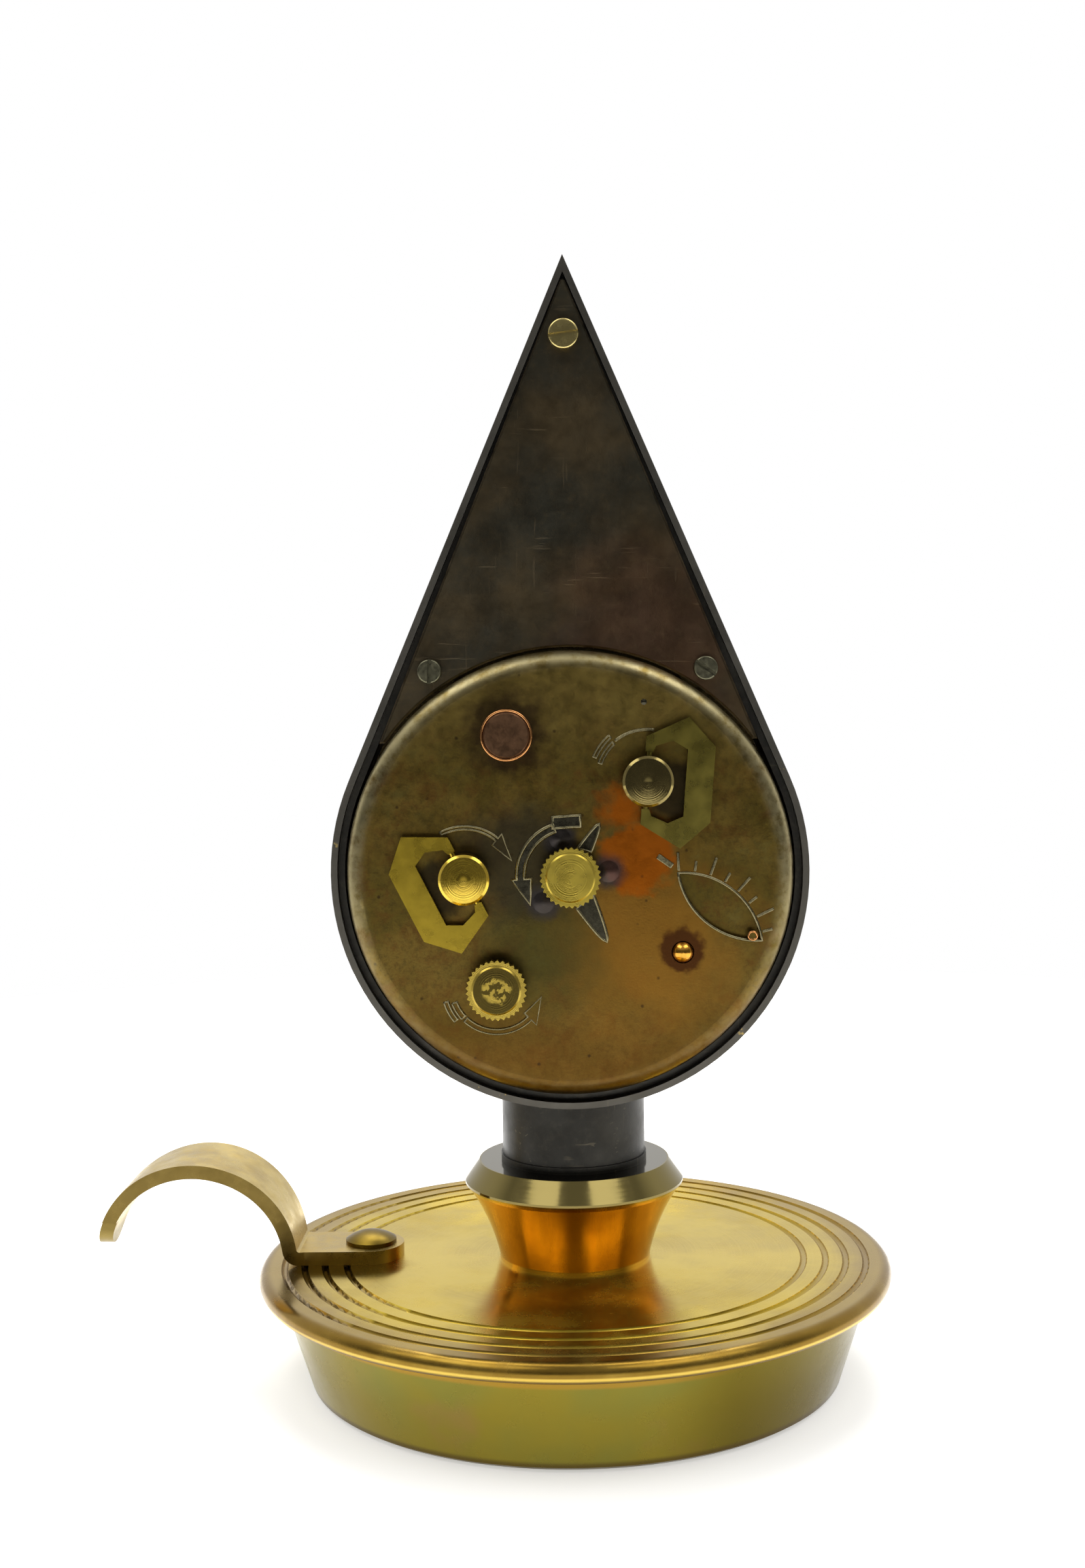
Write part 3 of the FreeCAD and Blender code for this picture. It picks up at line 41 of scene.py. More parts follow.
# Levels and radii where a finish, a painted highlight, a painted reflection or a painted shade
# changes, at or near edges of the CAD nodes
BASE_TOP_Z = 15.0
GROOVED_R = (29.0, 38.6)
RIM_BAND_R = (39.2, 40.4)
RIM_LINE_Z = (12.9, 13.6)
PAN_TOP_Z = 12.7
SOCKET_FOOT_Z = 15.3
SOCKET_LIP_Z = 25.2
SOCKET_FACE_Z = 27.88
SOCKET_FACE_R = 12.25
TUBE_SHADE_Z = (36.4, 37.0)
CASE_HALF_DEPTH = 11.0
CASE_TIP_Z = (140.6, 141.7)
ALARM_KNOB_FACE_R = 2.82
ALARM_KNOB_FACE_Y = (16.55, 16.68)

# Places on the back of the movement, as (x, height above its centre), with sizes and degrees
MOVEMENT_Z = 66.4
COVER_Y = 13.5
CENTRE = (0.0, 0.0)
TIME_KEY = (12.94, -0.07)
ALARM_KEY = (-9.56, 11.62)
ALARM_SET = (9.21, -13.68)
BUTTON = (7.62, 17.30)
BALANCE = (-13.74, -9.70)
SLOT_MIDDLE = (-18.36, -4.12)
SLOT_ARC_R = 9.75
INDEX_R = 8.8
INDEX_ANGLE = 166.9
BUMP_TURNS = (105, 5, 225)
BUMP_REACH = 4.7
BUMP_R = 1.6
BUMP_RISE = 0.3
DIMPLE = (-9.26, 21.17)
DIMPLE_R = 0.5
MINUS_BAR = ((-10.75, 2.25), (-12.55, 0.95))
BOW_OPENINGS = ((16.2, -1.6), (-12.6, 10.4))
TICK_COUNT = 8
TICK_FIRST = -42
TICK_STEP = 11.2
TICK_GAP = 0.35
TICK_WIDTH = 0.34
TICK_LENGTHS = (2.3, 1.3)
EYELET_R = 3.05
INDEX_RING_R = 0.52
SHARP_DEGREES = 60


# ---------------------------------------------------------------- places and meshes

def seen(centre, radius, degrees):
    """Place at a direction as it is seen from behind: 0 is right, 90 is up."""
    turn = math.radians(degrees)
    return centre[0] - radius * math.cos(turn), centre[1] + radius * math.sin(turn)


def on_cover(place, y):
    """Movement place and Y level to metres."""
    return Vector((place[0] * MM, y * MM, (MOVEMENT_Z + place[1]) * MM))


def new_object(name, mesh, material, body):
    piece = bpy.data.objects.new(name, mesh)
    bpy.context.scene.collection.objects.link(piece)
    mesh.materials.append(material)
    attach(piece, body)
    return piece


def smooth(piece):
    for polygon in piece.data.polygons:
        polygon.use_smooth = True
    piece.data.set_sharp_from_angle(angle=math.radians(SHARP_DEGREES))


def relief_mesh(name, outlines, y0, y1):
    """Closed flat-topped shapes between two Y levels, from outlines of movement places."""
    bm = bmesh.new()
    for outline in outlines:
        back = [bm.verts.new(on_cover(place, y0)) for place in outline]
        front = [bm.verts.new(on_cover(place, y1)) for place in outline]
        count = len(outline)
        bm.faces.new(back)
        bm.faces.new(front)
        for k in range(count):
            bm.faces.new((back[k], back[(k + 1) % count], front[(k + 1) % count], front[k]))
    bmesh.ops.recalc_face_normals(bm, faces=bm.faces)
    mesh = bpy.data.meshes.new(name)
    bm.to_mesh(mesh)
    bm.free()
    return mesh


def raised(name, outlines, material, height, soften):
    """Stamped relief that stands out of the cover, with its edges rounded over."""
    mesh = relief_mesh(name, outlines, COVER_Y - 0.1, COVER_Y + height)
    piece = new_object(name, mesh, material, "clock_body")
    bevel = piece.modifiers.new("soft edge", "BEVEL")
    bevel.width = soften * MM
    bevel.segments = 3
    bevel.limit_method = "ANGLE"
    smooth(piece)


def bead(name, places, y, radius, material, body="clock_body"):
    """Round wire along a closed line of movement places."""
    curve = bpy.data.curves.new(name, "CURVE")
    curve.dimensions = "3D"
    curve.bevel_depth = radius * MM
    curve.bevel_resolution = 4
    spline = curve.splines.new("POLY")
    spline.points.add(len(places) - 1)
    for point, place in zip(spline.points, places):
        point.co = (*on_cover(place, y), 1)
    spline.use_cyclic_u = True
    piece = bpy.data.objects.new(name, curve)
    bpy.context.scene.collection.objects.link(piece)
    curve.materials.append(material)
    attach(piece, body)


def circle(centre, radius, count=48):
    return [seen(centre, radius, 360 / count * k) for k in range(count)]


def arc(centre, radius, start, end, count=24):
    return [seen(centre, radius, start + (end - start) * k / count) for k in range(count + 1)]


# ---------------------------------------------------------------- materials

class Shader:
    """Node graph of one material. Places and sizes are millimetres in the clock's frame."""

    def __init__(self, name, metallic=1.0, roughness=0.3, colour=(0.5, 0.5, 0.5)):
        self.material = bpy.data.materials.new(name)
        self.material.use_nodes = True
        self.tree = self.material.node_tree
        self.bsdf = self.tree.nodes["Principled BSDF"]
        self.bsdf.inputs["Metallic"].default_value = metallic
        self.bsdf.inputs["Roughness"].default_value = roughness
        self.bsdf.inputs["Base Color"].default_value = (*colour, 1)
        texture_place = self.node("ShaderNodeTexCoord").outputs["Object"]
        self.place = self.vector("SCALE", texture_place, scale=1 / MM)
        self.height = None

    def node(self, kind, **settings):
        made = self.tree.nodes.new(kind)
        for key, value in settings.items():
            setattr(made, key, value)
        return made

    def link(self, source, socket):
        self.tree.links.new(source, socket)

    def feed(self, node, index, value):
        """A socket takes either another node's output or a plain value."""
        if isinstance(value, bpy.types.NodeSocket):
            self.link(value, node.inputs[index])
        else:
            node.inputs[index].default_value = value

    def vector(self, operation, a, b=None, scale=None):
        node = self.node("ShaderNodeVectorMath", operation=operation)
        self.feed(node, 0, a)
        if b is not None:
            self.feed(node, 1, b)
        if scale is not None:
            node.inputs["Scale"].default_value = scale
        return node.outputs["Value" if operation in ("LENGTH", "DISTANCE") else "Vector"]

    def math(self, operation, a, b=0.0):
        node = self.node("ShaderNodeMath", operation=operation)
        self.feed(node, 0, a)
        self.feed(node, 1, b)
        return node.outputs[0]

    def noise(self, size, detail=4.0, rough=0.55, stretch=(1, 1, 1), warp=0.0):
        """Noise whose features are about size millimetres, longer where stretch is under 1."""
        node = self.node("ShaderNodeTexNoise")
        node.inputs["Scale"].default_value = 1 / size
        node.inputs["Detail"].default_value = detail
        node.inputs["Roughness"].default_value = rough
        node.inputs["Distortion"].default_value = warp
        self.link(self.vector("MULTIPLY", self.place, stretch), node.inputs["Vector"])
        return node.outputs["Fac"]

    def speckle(self, size):
        node = self.node("ShaderNodeTexVoronoi", feature="F1")
        node.inputs["Scale"].default_value = 1 / size
        self.link(self.place, node.inputs["Vector"])
        return node.outputs["Distance"]

    def ramp(self, value, low, high, out_low=0.0, out_high=1.0):
        """Smooth step of value from low to high."""
        node = self.node("ShaderNodeMapRange", interpolation_type="SMOOTHSTEP")
        self.feed(node, 0, value)
        for index, limit in enumerate((low, high, out_low, out_high), start=1):
            node.inputs[index].default_value = limit
        return node.outputs[0]

    def mix(self, share, a, b):
        node = self.node("ShaderNodeMix", data_type="RGBA")
        self.feed(node, 0, share)
        for index, value in ((6, a), (7, b)):
            self.feed(node, index, (*value, 1) if isinstance(value, tuple) else value)
        return node.outputs[2]

    def tint(self, tone, mask, strength, colour):
        """Tone turned towards a colour, as far as strength where the mask is 1."""
        return self.mix(self.math("MULTIPLY", mask, strength), tone, colour)

    def spot(self, place, radius, edge, ragged=0.0, ragged_size=2.0):
        """1 inside a round patch on the back, 0 outside; ragged moves its edge in and out."""
        flat = self.vector("MULTIPLY", self.place, (1, 0, 1))
        middle = (place[0], 0, MOVEMENT_Z + place[1])
        distance = self.vector("DISTANCE", flat, middle)
        if ragged:
            wobble = self.math("MULTIPLY", self.noise(ragged_size, 3), ragged * 2)
            distance = self.math("SUBTRACT", self.math("ADD", distance, wobble), ragged)
        return self.ramp(distance, radius - edge, radius + edge, 1.0, 0.0)

    def radius_about_z(self):
        return self.vector("LENGTH", self.vector("MULTIPLY", self.place, (1, 1, 0)))

    def part(self, axis):
        split = self.node("ShaderNodeSeparateXYZ")
        self.link(self.place, split.inputs[0])
        return split.outputs[axis]

    def turned_lines(self, size, centre=None):
        """Fine lathe lines: noise that depends on the radius alone."""
        if centre is None:
            radius = self.radius_about_z()
        else:
            flat = self.vector("MULTIPLY", self.place, (1, 0, 1))
            radius = self.vector("DISTANCE", flat, (centre[0], 0, MOVEMENT_Z + centre[1]))
        node = self.node("ShaderNodeTexNoise", noise_dimensions="1D")
        self.link(radius, node.inputs["W"])
        node.inputs["Scale"].default_value = 1 / size
        node.inputs["Detail"].default_value = 3
        return node.outputs["Fac"]

    def colour(self, value):
        self.link(value, self.bsdf.inputs["Base Color"])

    def roughness(self, value):
        self.link(value, self.bsdf.inputs["Roughness"])

    def bump(self, height, depth):
        """Adds a bump of about depth millimetres; calls stack up."""
        node = self.node("ShaderNodeBump")
        node.inputs["Distance"].default_value = depth * MM
        node.inputs["Strength"].default_value = 1.0
        self.link(height, node.inputs["Height"])
        if self.height is not None:
            self.link(self.height, node.inputs["Normal"])
        self.height = node.outputs["Normal"]
        self.link(self.height, self.bsdf.inputs["Normal"])

    def turned_sheen(self, amount):
        """Gloss drawn out across the lathe lines about the vertical axis."""
        tangent = self.node("ShaderNodeTangent", direction_type="RADIAL", axis="Z")
        self.link(tangent.outputs[0], self.bsdf.inputs["Tangent"])
        self.bsdf.inputs["Anisotropic"].default_value = amount
        self.bsdf.inputs["Anisotropic Rotation"].default_value = 0.25

    def scratches(self, strength=0.5):
        """Hairline scratches in two directions: strength on a scratch, 0 off it."""
        first = self.noise(0.35, 1.0, 0.3, stretch=(1.0, 1.0, 0.06), warp=0.4)
        second = self.noise(0.45, 1.0, 0.3, stretch=(0.07, 1.0, 1.0), warp=0.6)
        lines = self.math("MAXIMUM", self.ramp(first, 0.70, 0.76), self.ramp(second, 0.70, 0.76))
        patches = self.ramp(self.noise(9, 2), 0.45, 0.65)
        return self.math("MULTIPLY", self.math("MULTIPLY", lines, patches), strength)


def dark_patina():
    """Chemically darkened brass of the case: grey-black, with brass showing at worn edges."""
    s = Shader("bronze_patina", metallic=0.75, roughness=0.38)
    cloud = s.noise(16, 5, 0.6)
    tone = s.mix(s.ramp(cloud, 0.35, 0.68), (0.034, 0.032, 0.027), (0.060, 0.055, 0.045))
    fine = s.noise(1.3, 5, 0.7)
    tone = s.mix(s.ramp(fine, 0.45, 0.75, 0.0, 0.4), tone, (0.085, 0.075, 0.056))
    y = s.math("ABSOLUTE", s.part("Y"))
    rim = s.ramp(y, CASE_HALF_DEPTH - 0.18, CASE_HALF_DEPTH)
    tone = s.tint(tone, rim, 0.75, (0.13, 0.12, 0.10))
    worn = s.math("MULTIPLY", rim, s.ramp(s.noise(3.0, 5, 0.7), 0.66, 0.74))
    tip = s.ramp(s.part("Z"), *CASE_TIP_Z)
    rubbed = s.ramp(s.noise(2.4, 5, 0.7), 0.50, 0.62, 0.0, 0.6)
    worn = s.math("MAXIMUM", worn, s.math("MULTIPLY", tip, rubbed))
    tone = s.mix(worn, tone, (0.55, 0.40, 0.14))
    tube = s.ramp(s.part("Z"), *TUBE_SHADE_Z, 0.4, 0.0)
    tone = s.mix(tube, tone, (0.010, 0.009, 0.007))
    s.colour(s.mix(s.scratches(0.25), tone, (0.20, 0.17, 0.11)))
    s.roughness(s.ramp(s.noise(5, 5, 0.65), 0.25, 0.8, 0.30, 0.50))
    s.bump(s.noise(0.5, 4, 0.6), 0.010)
    return s.material


def plate_patina():
    """Back plate: the same darkening, rubbed browner, redder low on the right."""
    s = Shader("plate_patina", metallic=0.85, roughness=0.4)
    cloud = s.noise(13, 6, 0.62)
    tone = s.mix(s.ramp(cloud, 0.34, 0.70), (0.050, 0.046, 0.032), (0.100, 0.072, 0.036))
    red = s.spot((-11.0, 29.0), 11, 8, 8, 7)
    tone = s.tint(tone, red, 0.45, (0.13, 0.052, 0.022))
    stain = s.ramp(s.noise(1.1, 6, 0.72), 0.48, 0.80, 0.0, 0.5)
    tone = s.mix(stain, tone, (0.12, 0.085, 0.040))
    edge = s.ramp(s.part("Y"), CASE_HALF_DEPTH - 0.30, CASE_HALF_DEPTH - 0.02, 1.0, 0.0)
    worn = s.math("MULTIPLY", edge, s.ramp(s.noise(2.5, 4), 0.30, 0.55))
    tone = s.mix(worn, tone, (0.20, 0.155, 0.095))
    s.colour(s.mix(s.scratches(0.30), tone, (0.20, 0.15, 0.085)))
    s.roughness(s.ramp(s.noise(4, 6, 0.7), 0.25, 0.8, 0.30, 0.55))
    s.bump(s.noise(0.45, 4, 0.6), 0.012)
    s.bump(s.scratches(1.0), 0.012)
    return s.material


def cover_stains(s, tone):
    """Marks of the cover: warmer below, lighter towards the top, orange right of the centre, dark
    round the button and the balance, bluish on the bumps; painted shade inside the key bows and beside
    the time key.
    """
    low = s.ramp(s.part("Z"), MOVEMENT_Z - 24, MOVEMENT_Z - 10, 1.0, 0.0)
    tone = s.tint(tone, low, 0.6, (0.120, 0.052, 0.008))
    high = s.ramp(s.part("Z"), MOVEMENT_Z + 12, MOVEMENT_Z + 22, 0.0, 0.7)
    tone = s.mix(high, tone, (0.260, 0.185, 0.048))
    right = s.spot((-9.5, -7.5), 10, 6, 6, 6)
    tone = s.tint(tone, right, 0.75, (0.27, 0.125, 0.018))
    below_key = s.spot((-8.4, 2.6), 4.6, 0.9, 3.0, 2.4)
    beside_key = s.spot((-6.2, 8.2), 2.4, 1.4, 2.4, 2.0)
    orange = s.math("MAXIMUM", below_key, beside_key)
    tone = s.tint(tone, orange, 0.9, (0.34, 0.085, 0.005))
    green = s.spot((3.5, -9.0), 6.5, 3.5, 4, 4)
    tone = s.tint(tone, green, 0.6, (0.060, 0.055, 0.016))
    # Painted shade: the dark patch beside the time key, towards the centre.
    grey = s.spot((6.0, 2.2), 6.8, 2.6, 3, 4)
    tone = s.tint(tone, grey, 0.85, (0.044, 0.038, 0.022))
    # Painted shade on the cover inside the openings of the two key bows.
    for place in BOW_OPENINGS:
        shade = s.spot(place, 3.5, 0.8, 0.6, 1.5)
        tone = s.tint(tone, shade, 0.85, (0.024, 0.019, 0.012))
    halo = s.spot((BUTTON[0] - 0.2, BUTTON[1] + 0.4), 5.1, 2.0, 2.6, 2.2)
    tone = s.tint(tone, halo, 0.85, (0.032, 0.018, 0.010))
    drop = s.spot((BALANCE[0] + 0.1, BALANCE[1] + 0.3), 2.7, 0.5, 1.0, 1.2)
    tone = s.tint(tone, drop, 0.9, (0.060, 0.020, 0.008))
    for turn in BUMP_TURNS:
        blue = s.spot(seen(CENTRE, BUMP_REACH, turn), 2.0, 0.8, 0.6, 1.5)
        tone = s.tint(tone, blue, 0.85, (0.045, 0.040, 0.042))
    return tone


def cover_rim(s, tone):
    """Painted highlight: a pale band on the rim, strongest above the middle."""
    flat = s.vector("MULTIPLY", s.place, (1, 0, 1))
    radius = s.vector("DISTANCE", flat, (0, 0, MOVEMENT_Z))
    rim = s.math("MULTIPLY", s.ramp(radius, 24.6, 27.0), s.ramp(radius, 24.6, 26.4))
    height = s.ramp(s.part("Z"), MOVEMENT_Z - 14, MOVEMENT_Z + 6, 0.15, 1.0)
    patchy = s.ramp(s.noise(2.2, 5, 0.7), 0.25, 0.6)
    rim_highlight = s.math("MULTIPLY", s.math("MULTIPLY", rim, height), patchy)
    return s.mix(rim_highlight, tone, (0.40, 0.34, 0.18))


def cover_brass(name="cover_brass", stains_and_painted_light=True):
    """Lacquered brass gone olive and brown; the switch adds the marks tied to places on the cover,
    painted shade and a painted rim highlight among them.
    """
    s = Shader(name, metallic=1.0, roughness=0.4)
    cloud = s.noise(9, 5, 0.6)
    tone = s.mix(s.ramp(cloud, 0.34, 0.68), (0.122, 0.086, 0.018), (0.180, 0.116, 0.026))
    grain = s.noise(0.6, 6, 0.78)
    tone = s.mix(s.ramp(grain, 0.42, 0.66, 0.0, 0.6), tone, (0.075, 0.053, 0.016))
    mottle = s.noise(3.2, 8, 0.72, warp=0.3)
    tone = s.mix(s.ramp(mottle, 0.48, 0.66, 0.0, 0.55), tone, (0.120, 0.052, 0.014))
    tone = s.mix(s.ramp(mottle, 0.46, 0.30, 0.0, 0.4), tone, (0.150, 0.128, 0.036))
    if stains_and_painted_light:
        tone = cover_stains(s, tone)
    dots = s.ramp(s.speckle(3.1), 0.03, 0.10, 1.0, 0.0)
    tone = s.tint(tone, dots, 0.7, (0.035, 0.02, 0.01))
    # Painted highlight on the rim of the cover.
    if stains_and_painted_light:
        tone = cover_rim(s, tone)
    s.colour(tone)
    s.roughness(s.ramp(s.noise(2.5, 5, 0.7), 0.25, 0.75, 0.28, 0.46))
    s.bump(s.noise(0.22, 3, 0.6), 0.010)
    return s.material


def clean_brass(name, tint, rough, centre=None, tarnished=False):
    """Clean brass, with lathe rings about a centre, and a dulled face there if tarnished."""
    s = Shader(name, metallic=1.0, roughness=rough)
    deep = tuple(0.82 * c for c in tint)
    tone = s.mix(s.ramp(s.noise(2.4, 4, 0.6), 0.35, 0.70), tint, deep)
    if tarnished:
        round_face = s.spot(centre, ALARM_KNOB_FACE_R, 0.06)
        face = s.math("MULTIPLY", round_face, s.ramp(s.part("Y"), *ALARM_KNOB_FACE_Y))
        flakes = s.ramp(s.noise(0.8, 4, 0.6), 0.47, 0.52)
        gilt = s.math("MULTIPLY", s.spot(centre, 1.6, 0.3, 0.9, 1.5), flakes)
        left = s.math("MULTIPLY", face, s.math("SUBTRACT", 1.0, gilt))
        tone = s.tint(tone, left, 0.92, (0.058, 0.042, 0.011))
    specks = s.ramp(s.noise(0.35, 4, 0.7), 0.78, 0.86)
    tone = s.tint(tone, specks, 0.25, (0.25, 0.17, 0.06))
    s.colour(tone)
    s.roughness(s.ramp(s.noise(2.2, 2, 0.5), 0.3, 0.75, rough * 0.9, rough * 1.25))
    if centre is not None:
        s.bump(s.turned_lines(0.14, centre), 0.010)
    s.bump(s.noise(0.3, 3, 0.6), 0.004)
    return s.material


def dish_top(s, tone):
    """Browner towards the rolled rim, with painted shade in the grooves."""
    radius = s.radius_about_z()
    ragged = s.math("ADD", radius, s.math("MULTIPLY", s.noise(9, 4, 0.6), 8.0))
    tone = s.mix(s.ramp(ragged, 35.5, 42.0, 0.0, 0.75), tone, (0.31, 0.200, 0.052))
    rim = s.math("MULTIPLY", s.ramp(radius, *RIM_BAND_R), s.ramp(s.noise(5, 4), 0.25, 0.6, 0.6, 1.0))
    tone = s.mix(rim, tone, (0.235, 0.140, 0.022))
    # Painted shade in the grooves, darker deeper down them.
    inner, outer = GROOVED_R
    ribbed = s.math("MULTIPLY", s.ramp(radius, inner, inner + 0.3), s.ramp(radius, outer, outer - 0.3))
    sunk = s.ramp(s.part("Z"), BASE_TOP_Z - 0.04, BASE_TOP_Z - 0.20)
    groove_shade = s.math("MULTIPLY", ribbed, sunk)
    tone = s.tint(tone, groove_shade, 0.45, (0.21, 0.115, 0.022))
    return tone


def dish_side(s, tone):
    """Painted highlight as a gold line on the rim, a painted reflection in an orange band below it,
    then a green and pink side, with painted shade towards -X and a painted contact shadow at the foot.
    """
    # Painted highlight: a bright gold line on the rim's nose.
    low, high = RIM_LINE_Z
    above_low = s.ramp(s.part("Z"), low, low + 0.3)
    below_high = s.ramp(s.part("Z"), high, high - 0.3)
    line = s.math("MULTIPLY", above_low, below_high)
    tone = s.tint(tone, line, 0.8, (0.88, 0.62, 0.12))
    # Painted reflection: an orange band on the curve just below the rim.
    below = s.ramp(s.part("Z"), low, low - 0.4)
    under = s.math("MULTIPLY", below, s.ramp(s.part("Z"), low - 2.0, low - 1.5))
    side = s.ramp(s.part("Z"), PAN_TOP_Z - 0.5, PAN_TOP_Z, 1.0, 0.0)
    tone = s.tint(tone, side, 0.9, (0.245, 0.197, 0.024))
    green = s.math("MULTIPLY", side, s.ramp(s.noise(20, 3, 0.5), 0.42, 0.62))
    tone = s.tint(tone, green, 0.5, (0.175, 0.190, 0.045))
    pink = s.math("MULTIPLY", side, s.ramp(s.noise(11, 3, 0.5), 0.58, 0.72))
    tone = s.tint(tone, pink, 0.4, (0.29, 0.16, 0.058))
    # Painted reflection applied to the band below the rim.
    tone = s.tint(tone, under, 0.65, (0.42, 0.22, 0.03))
    # Painted shade on the side wall towards -X.
    far_side_shade = s.math("MULTIPLY", side, s.ramp(s.part("X"), -8.0, -20.0, 0.0, 0.95))
    tone = s.mix(far_side_shade, tone, (0.150, 0.112, 0.010))
    # Painted contact shadow at the foot of the side wall.
    foot = s.ramp(s.part("Z"), 0.9, 1.6, 0.8, 0.0)
    tone = s.mix(foot, tone, (0.10, 0.065, 0.02))
    return tone


def base_brass():
    """Satin golden-olive brass of the dish, with fine turning lines and a greenish side."""
    s = Shader("base_brass", metallic=1.0, roughness=0.3)
    tone = s.mix(s.ramp(s.noise(14, 5, 0.6), 0.35, 0.68), (0.69, 0.500, 0.046), (0.53, 0.375, 0.036))
    lines = s.turned_lines(0.30)
    tone = s.mix(s.ramp(lines, 0.35, 0.65, 0.0, 0.3), tone, (0.69, 0.50, 0.075))
    tone = dish_side(s, dish_top(s, tone))
    dust = s.ramp(s.noise(1.6, 6, 0.75), 0.60, 0.80, 0.0, 0.35)
    s.colour(s.mix(dust, tone, (0.26, 0.18, 0.05)))
    s.roughness(s.ramp(s.noise(6, 5, 0.65), 0.3, 0.75, 0.20, 0.31))
    s.turned_sheen(0.85)
    s.bump(lines, 0.003)
    s.bump(s.noise(0.35, 3, 0.6), 0.0015)
    return s.material


def socket_brass():
    """Polished brass of the candle socket, deep orange below the duller lip."""
    s = Shader("socket_brass", metallic=1.0, roughness=0.16)
    tone = s.mix(s.ramp(s.noise(8, 4, 0.6), 0.38, 0.66), (0.46, 0.190, 0.016), (0.36, 0.140, 0.012))
    foot = s.ramp(s.part("Z"), SOCKET_FOOT_Z, SOCKET_FOOT_Z + 0.3, 1.0, 0.0)
    tone = s.tint(tone, foot, 0.8, (0.80, 0.50, 0.10))
    lip = s.ramp(s.part("Z"), SOCKET_LIP_Z - 0.8, SOCKET_LIP_Z)
    tone = s.mix(lip, tone, (0.19, 0.15, 0.052))
    level = s.ramp(s.part("Z"), SOCKET_FACE_Z - 0.08, SOCKET_FACE_Z)
    inside = s.ramp(s.radius_about_z(), SOCKET_FACE_R, SOCKET_FACE_R - 0.2)
    face = s.math("MULTIPLY", level, inside)
    tone = s.mix(face, tone, (0.16, 0.145, 0.105))
    specks = s.ramp(s.noise(0.55, 4, 0.7), 0.67, 0.74)
    s.colour(s.tint(tone, specks, 0.6, (0.20, 0.12, 0.05)))
    s.roughness(s.ramp(s.noise(4, 5, 0.65), 0.3, 0.75, 0.08, 0.14))
    s.turned_sheen(0.6)
    s.bump(s.turned_lines(0.25), 0.002)
    return s.material


def handle_brass():
    """Bent strip of the handle, pale brass, with painted shade on the faces that look along Y and on
    the low end of the free tip, and darker at the foot.
    """
    s = Shader("handle_brass", metallic=1.0, roughness=0.34)
    tone = s.mix(s.ramp(s.noise(5, 5, 0.62), 0.36, 0.68), (0.60, 0.45, 0.145), (0.45, 0.32, 0.09))
    # Painted shade on the faces of the strip that look along Y, picked out by their normal.
    normal = s.node("ShaderNodeSeparateXYZ")
    s.link(s.node("ShaderNodeTexCoord").outputs["Normal"], normal.inputs[0])
    edge = s.ramp(s.math("ABSOLUTE", normal.outputs["Y"]), 0.80, 0.97)
    tone = s.tint(tone, edge, 0.9, (0.13, 0.088, 0.023))
    # Painted shade on the lower part of the free end.
    tip = s.math("MULTIPLY", s.ramp(s.part("X"), 57.0, 59.0), s.ramp(s.part("Z"), 21.0, 18.5))
    tone = s.tint(tone, tip, 0.8, (0.20, 0.15, 0.045))
    foot = s.ramp(s.part("X"), 37.5, 35.0)
    tone = s.tint(tone, foot, 0.7, (0.40, 0.28, 0.075))
    s.colour(tone)
    s.roughness(s.ramp(s.noise(2.2, 5, 0.7), 0.3, 0.75, 0.24, 0.42))
    s.bump(s.noise(0.4, 4, 0.6, stretch=(0.3, 1, 0.3)), 0.006)
    return s.material


def plain_metal(name, tint, rough, size=1.5):
    """Lightly mottled metal: steel, nickel, copper, the button and the stamped lines."""
    s = Shader(name, metallic=1.0, roughness=rough)
    deep = tuple(0.7 * c for c in tint)
    s.colour(s.mix(s.ramp(s.noise(size, 5, 0.65), 0.35, 0.70), tint, deep))
    s.roughness(s.ramp(s.noise(size * 0.6, 4, 0.7), 0.3, 0.75, rough * 0.75, rough * 1.4))
    s.bump(s.noise(0.25, 3, 0.6), 0.004)
    return s.material


def felt():
    s = Shader("felt", metallic=0.0, roughness=0.95)
    fibre = s.noise(0.25, 5, 0.8, warp=0.5)
    s.colour(s.mix(s.ramp(fibre, 0.3, 0.7), (0.015, 0.045, 0.022), (0.035, 0.085, 0.045)))
    s.bsdf.inputs["Sheen Weight"].default_value = 0.4
    s.bump(fibre, 0.08)
    return s.material


def cast_iron():
    s = Shader("cast_iron", metallic=0.7, roughness=0.7)
    s.colour(s.mix(s.ramp(s.noise(1.0, 5, 0.7), 0.3, 0.7), (0.035, 0.035, 0.036), (0.07, 0.066, 0.06)))
    s.bump(s.noise(0.6, 4, 0.7), 0.05)
    return s.material


def dial_paint():
    s = Shader("dial_paint", metallic=0.0, roughness=0.35)
    s.colour(s.mix(s.ramp(s.noise(7, 4, 0.6), 0.35, 0.7), (0.82, 0.77, 0.62), (0.74, 0.67, 0.50)))
    s.bump(s.noise(0.3, 2, 0.5), 0.003)
    return s.material


def lacquer(name, tint):
    s = Shader(name, metallic=0.0, roughness=0.22)
    pale = tuple(c + 0.02 for c in tint)
    s.colour(s.mix(s.ramp(s.noise(1.5, 3), 0.4, 0.7), tint, pale))
    s.bump(s.noise(0.4, 2, 0.5), 0.002)
    return s.material


def crystal_glass():
    s = Shader("crystal_glass", metallic=0.0, roughness=0.02, colour=(1.0, 1.0, 1.0))
    s.bsdf.inputs["Transmission Weight"].default_value = 1.0
    s.bsdf.inputs["IOR"].default_value = 1.45
    s.roughness(s.ramp(s.noise(6, 4, 0.6), 0.4, 0.8, 0.01, 0.05))
    return s.material


# ---------------------------------------------------------------- finish of the CAD nodes

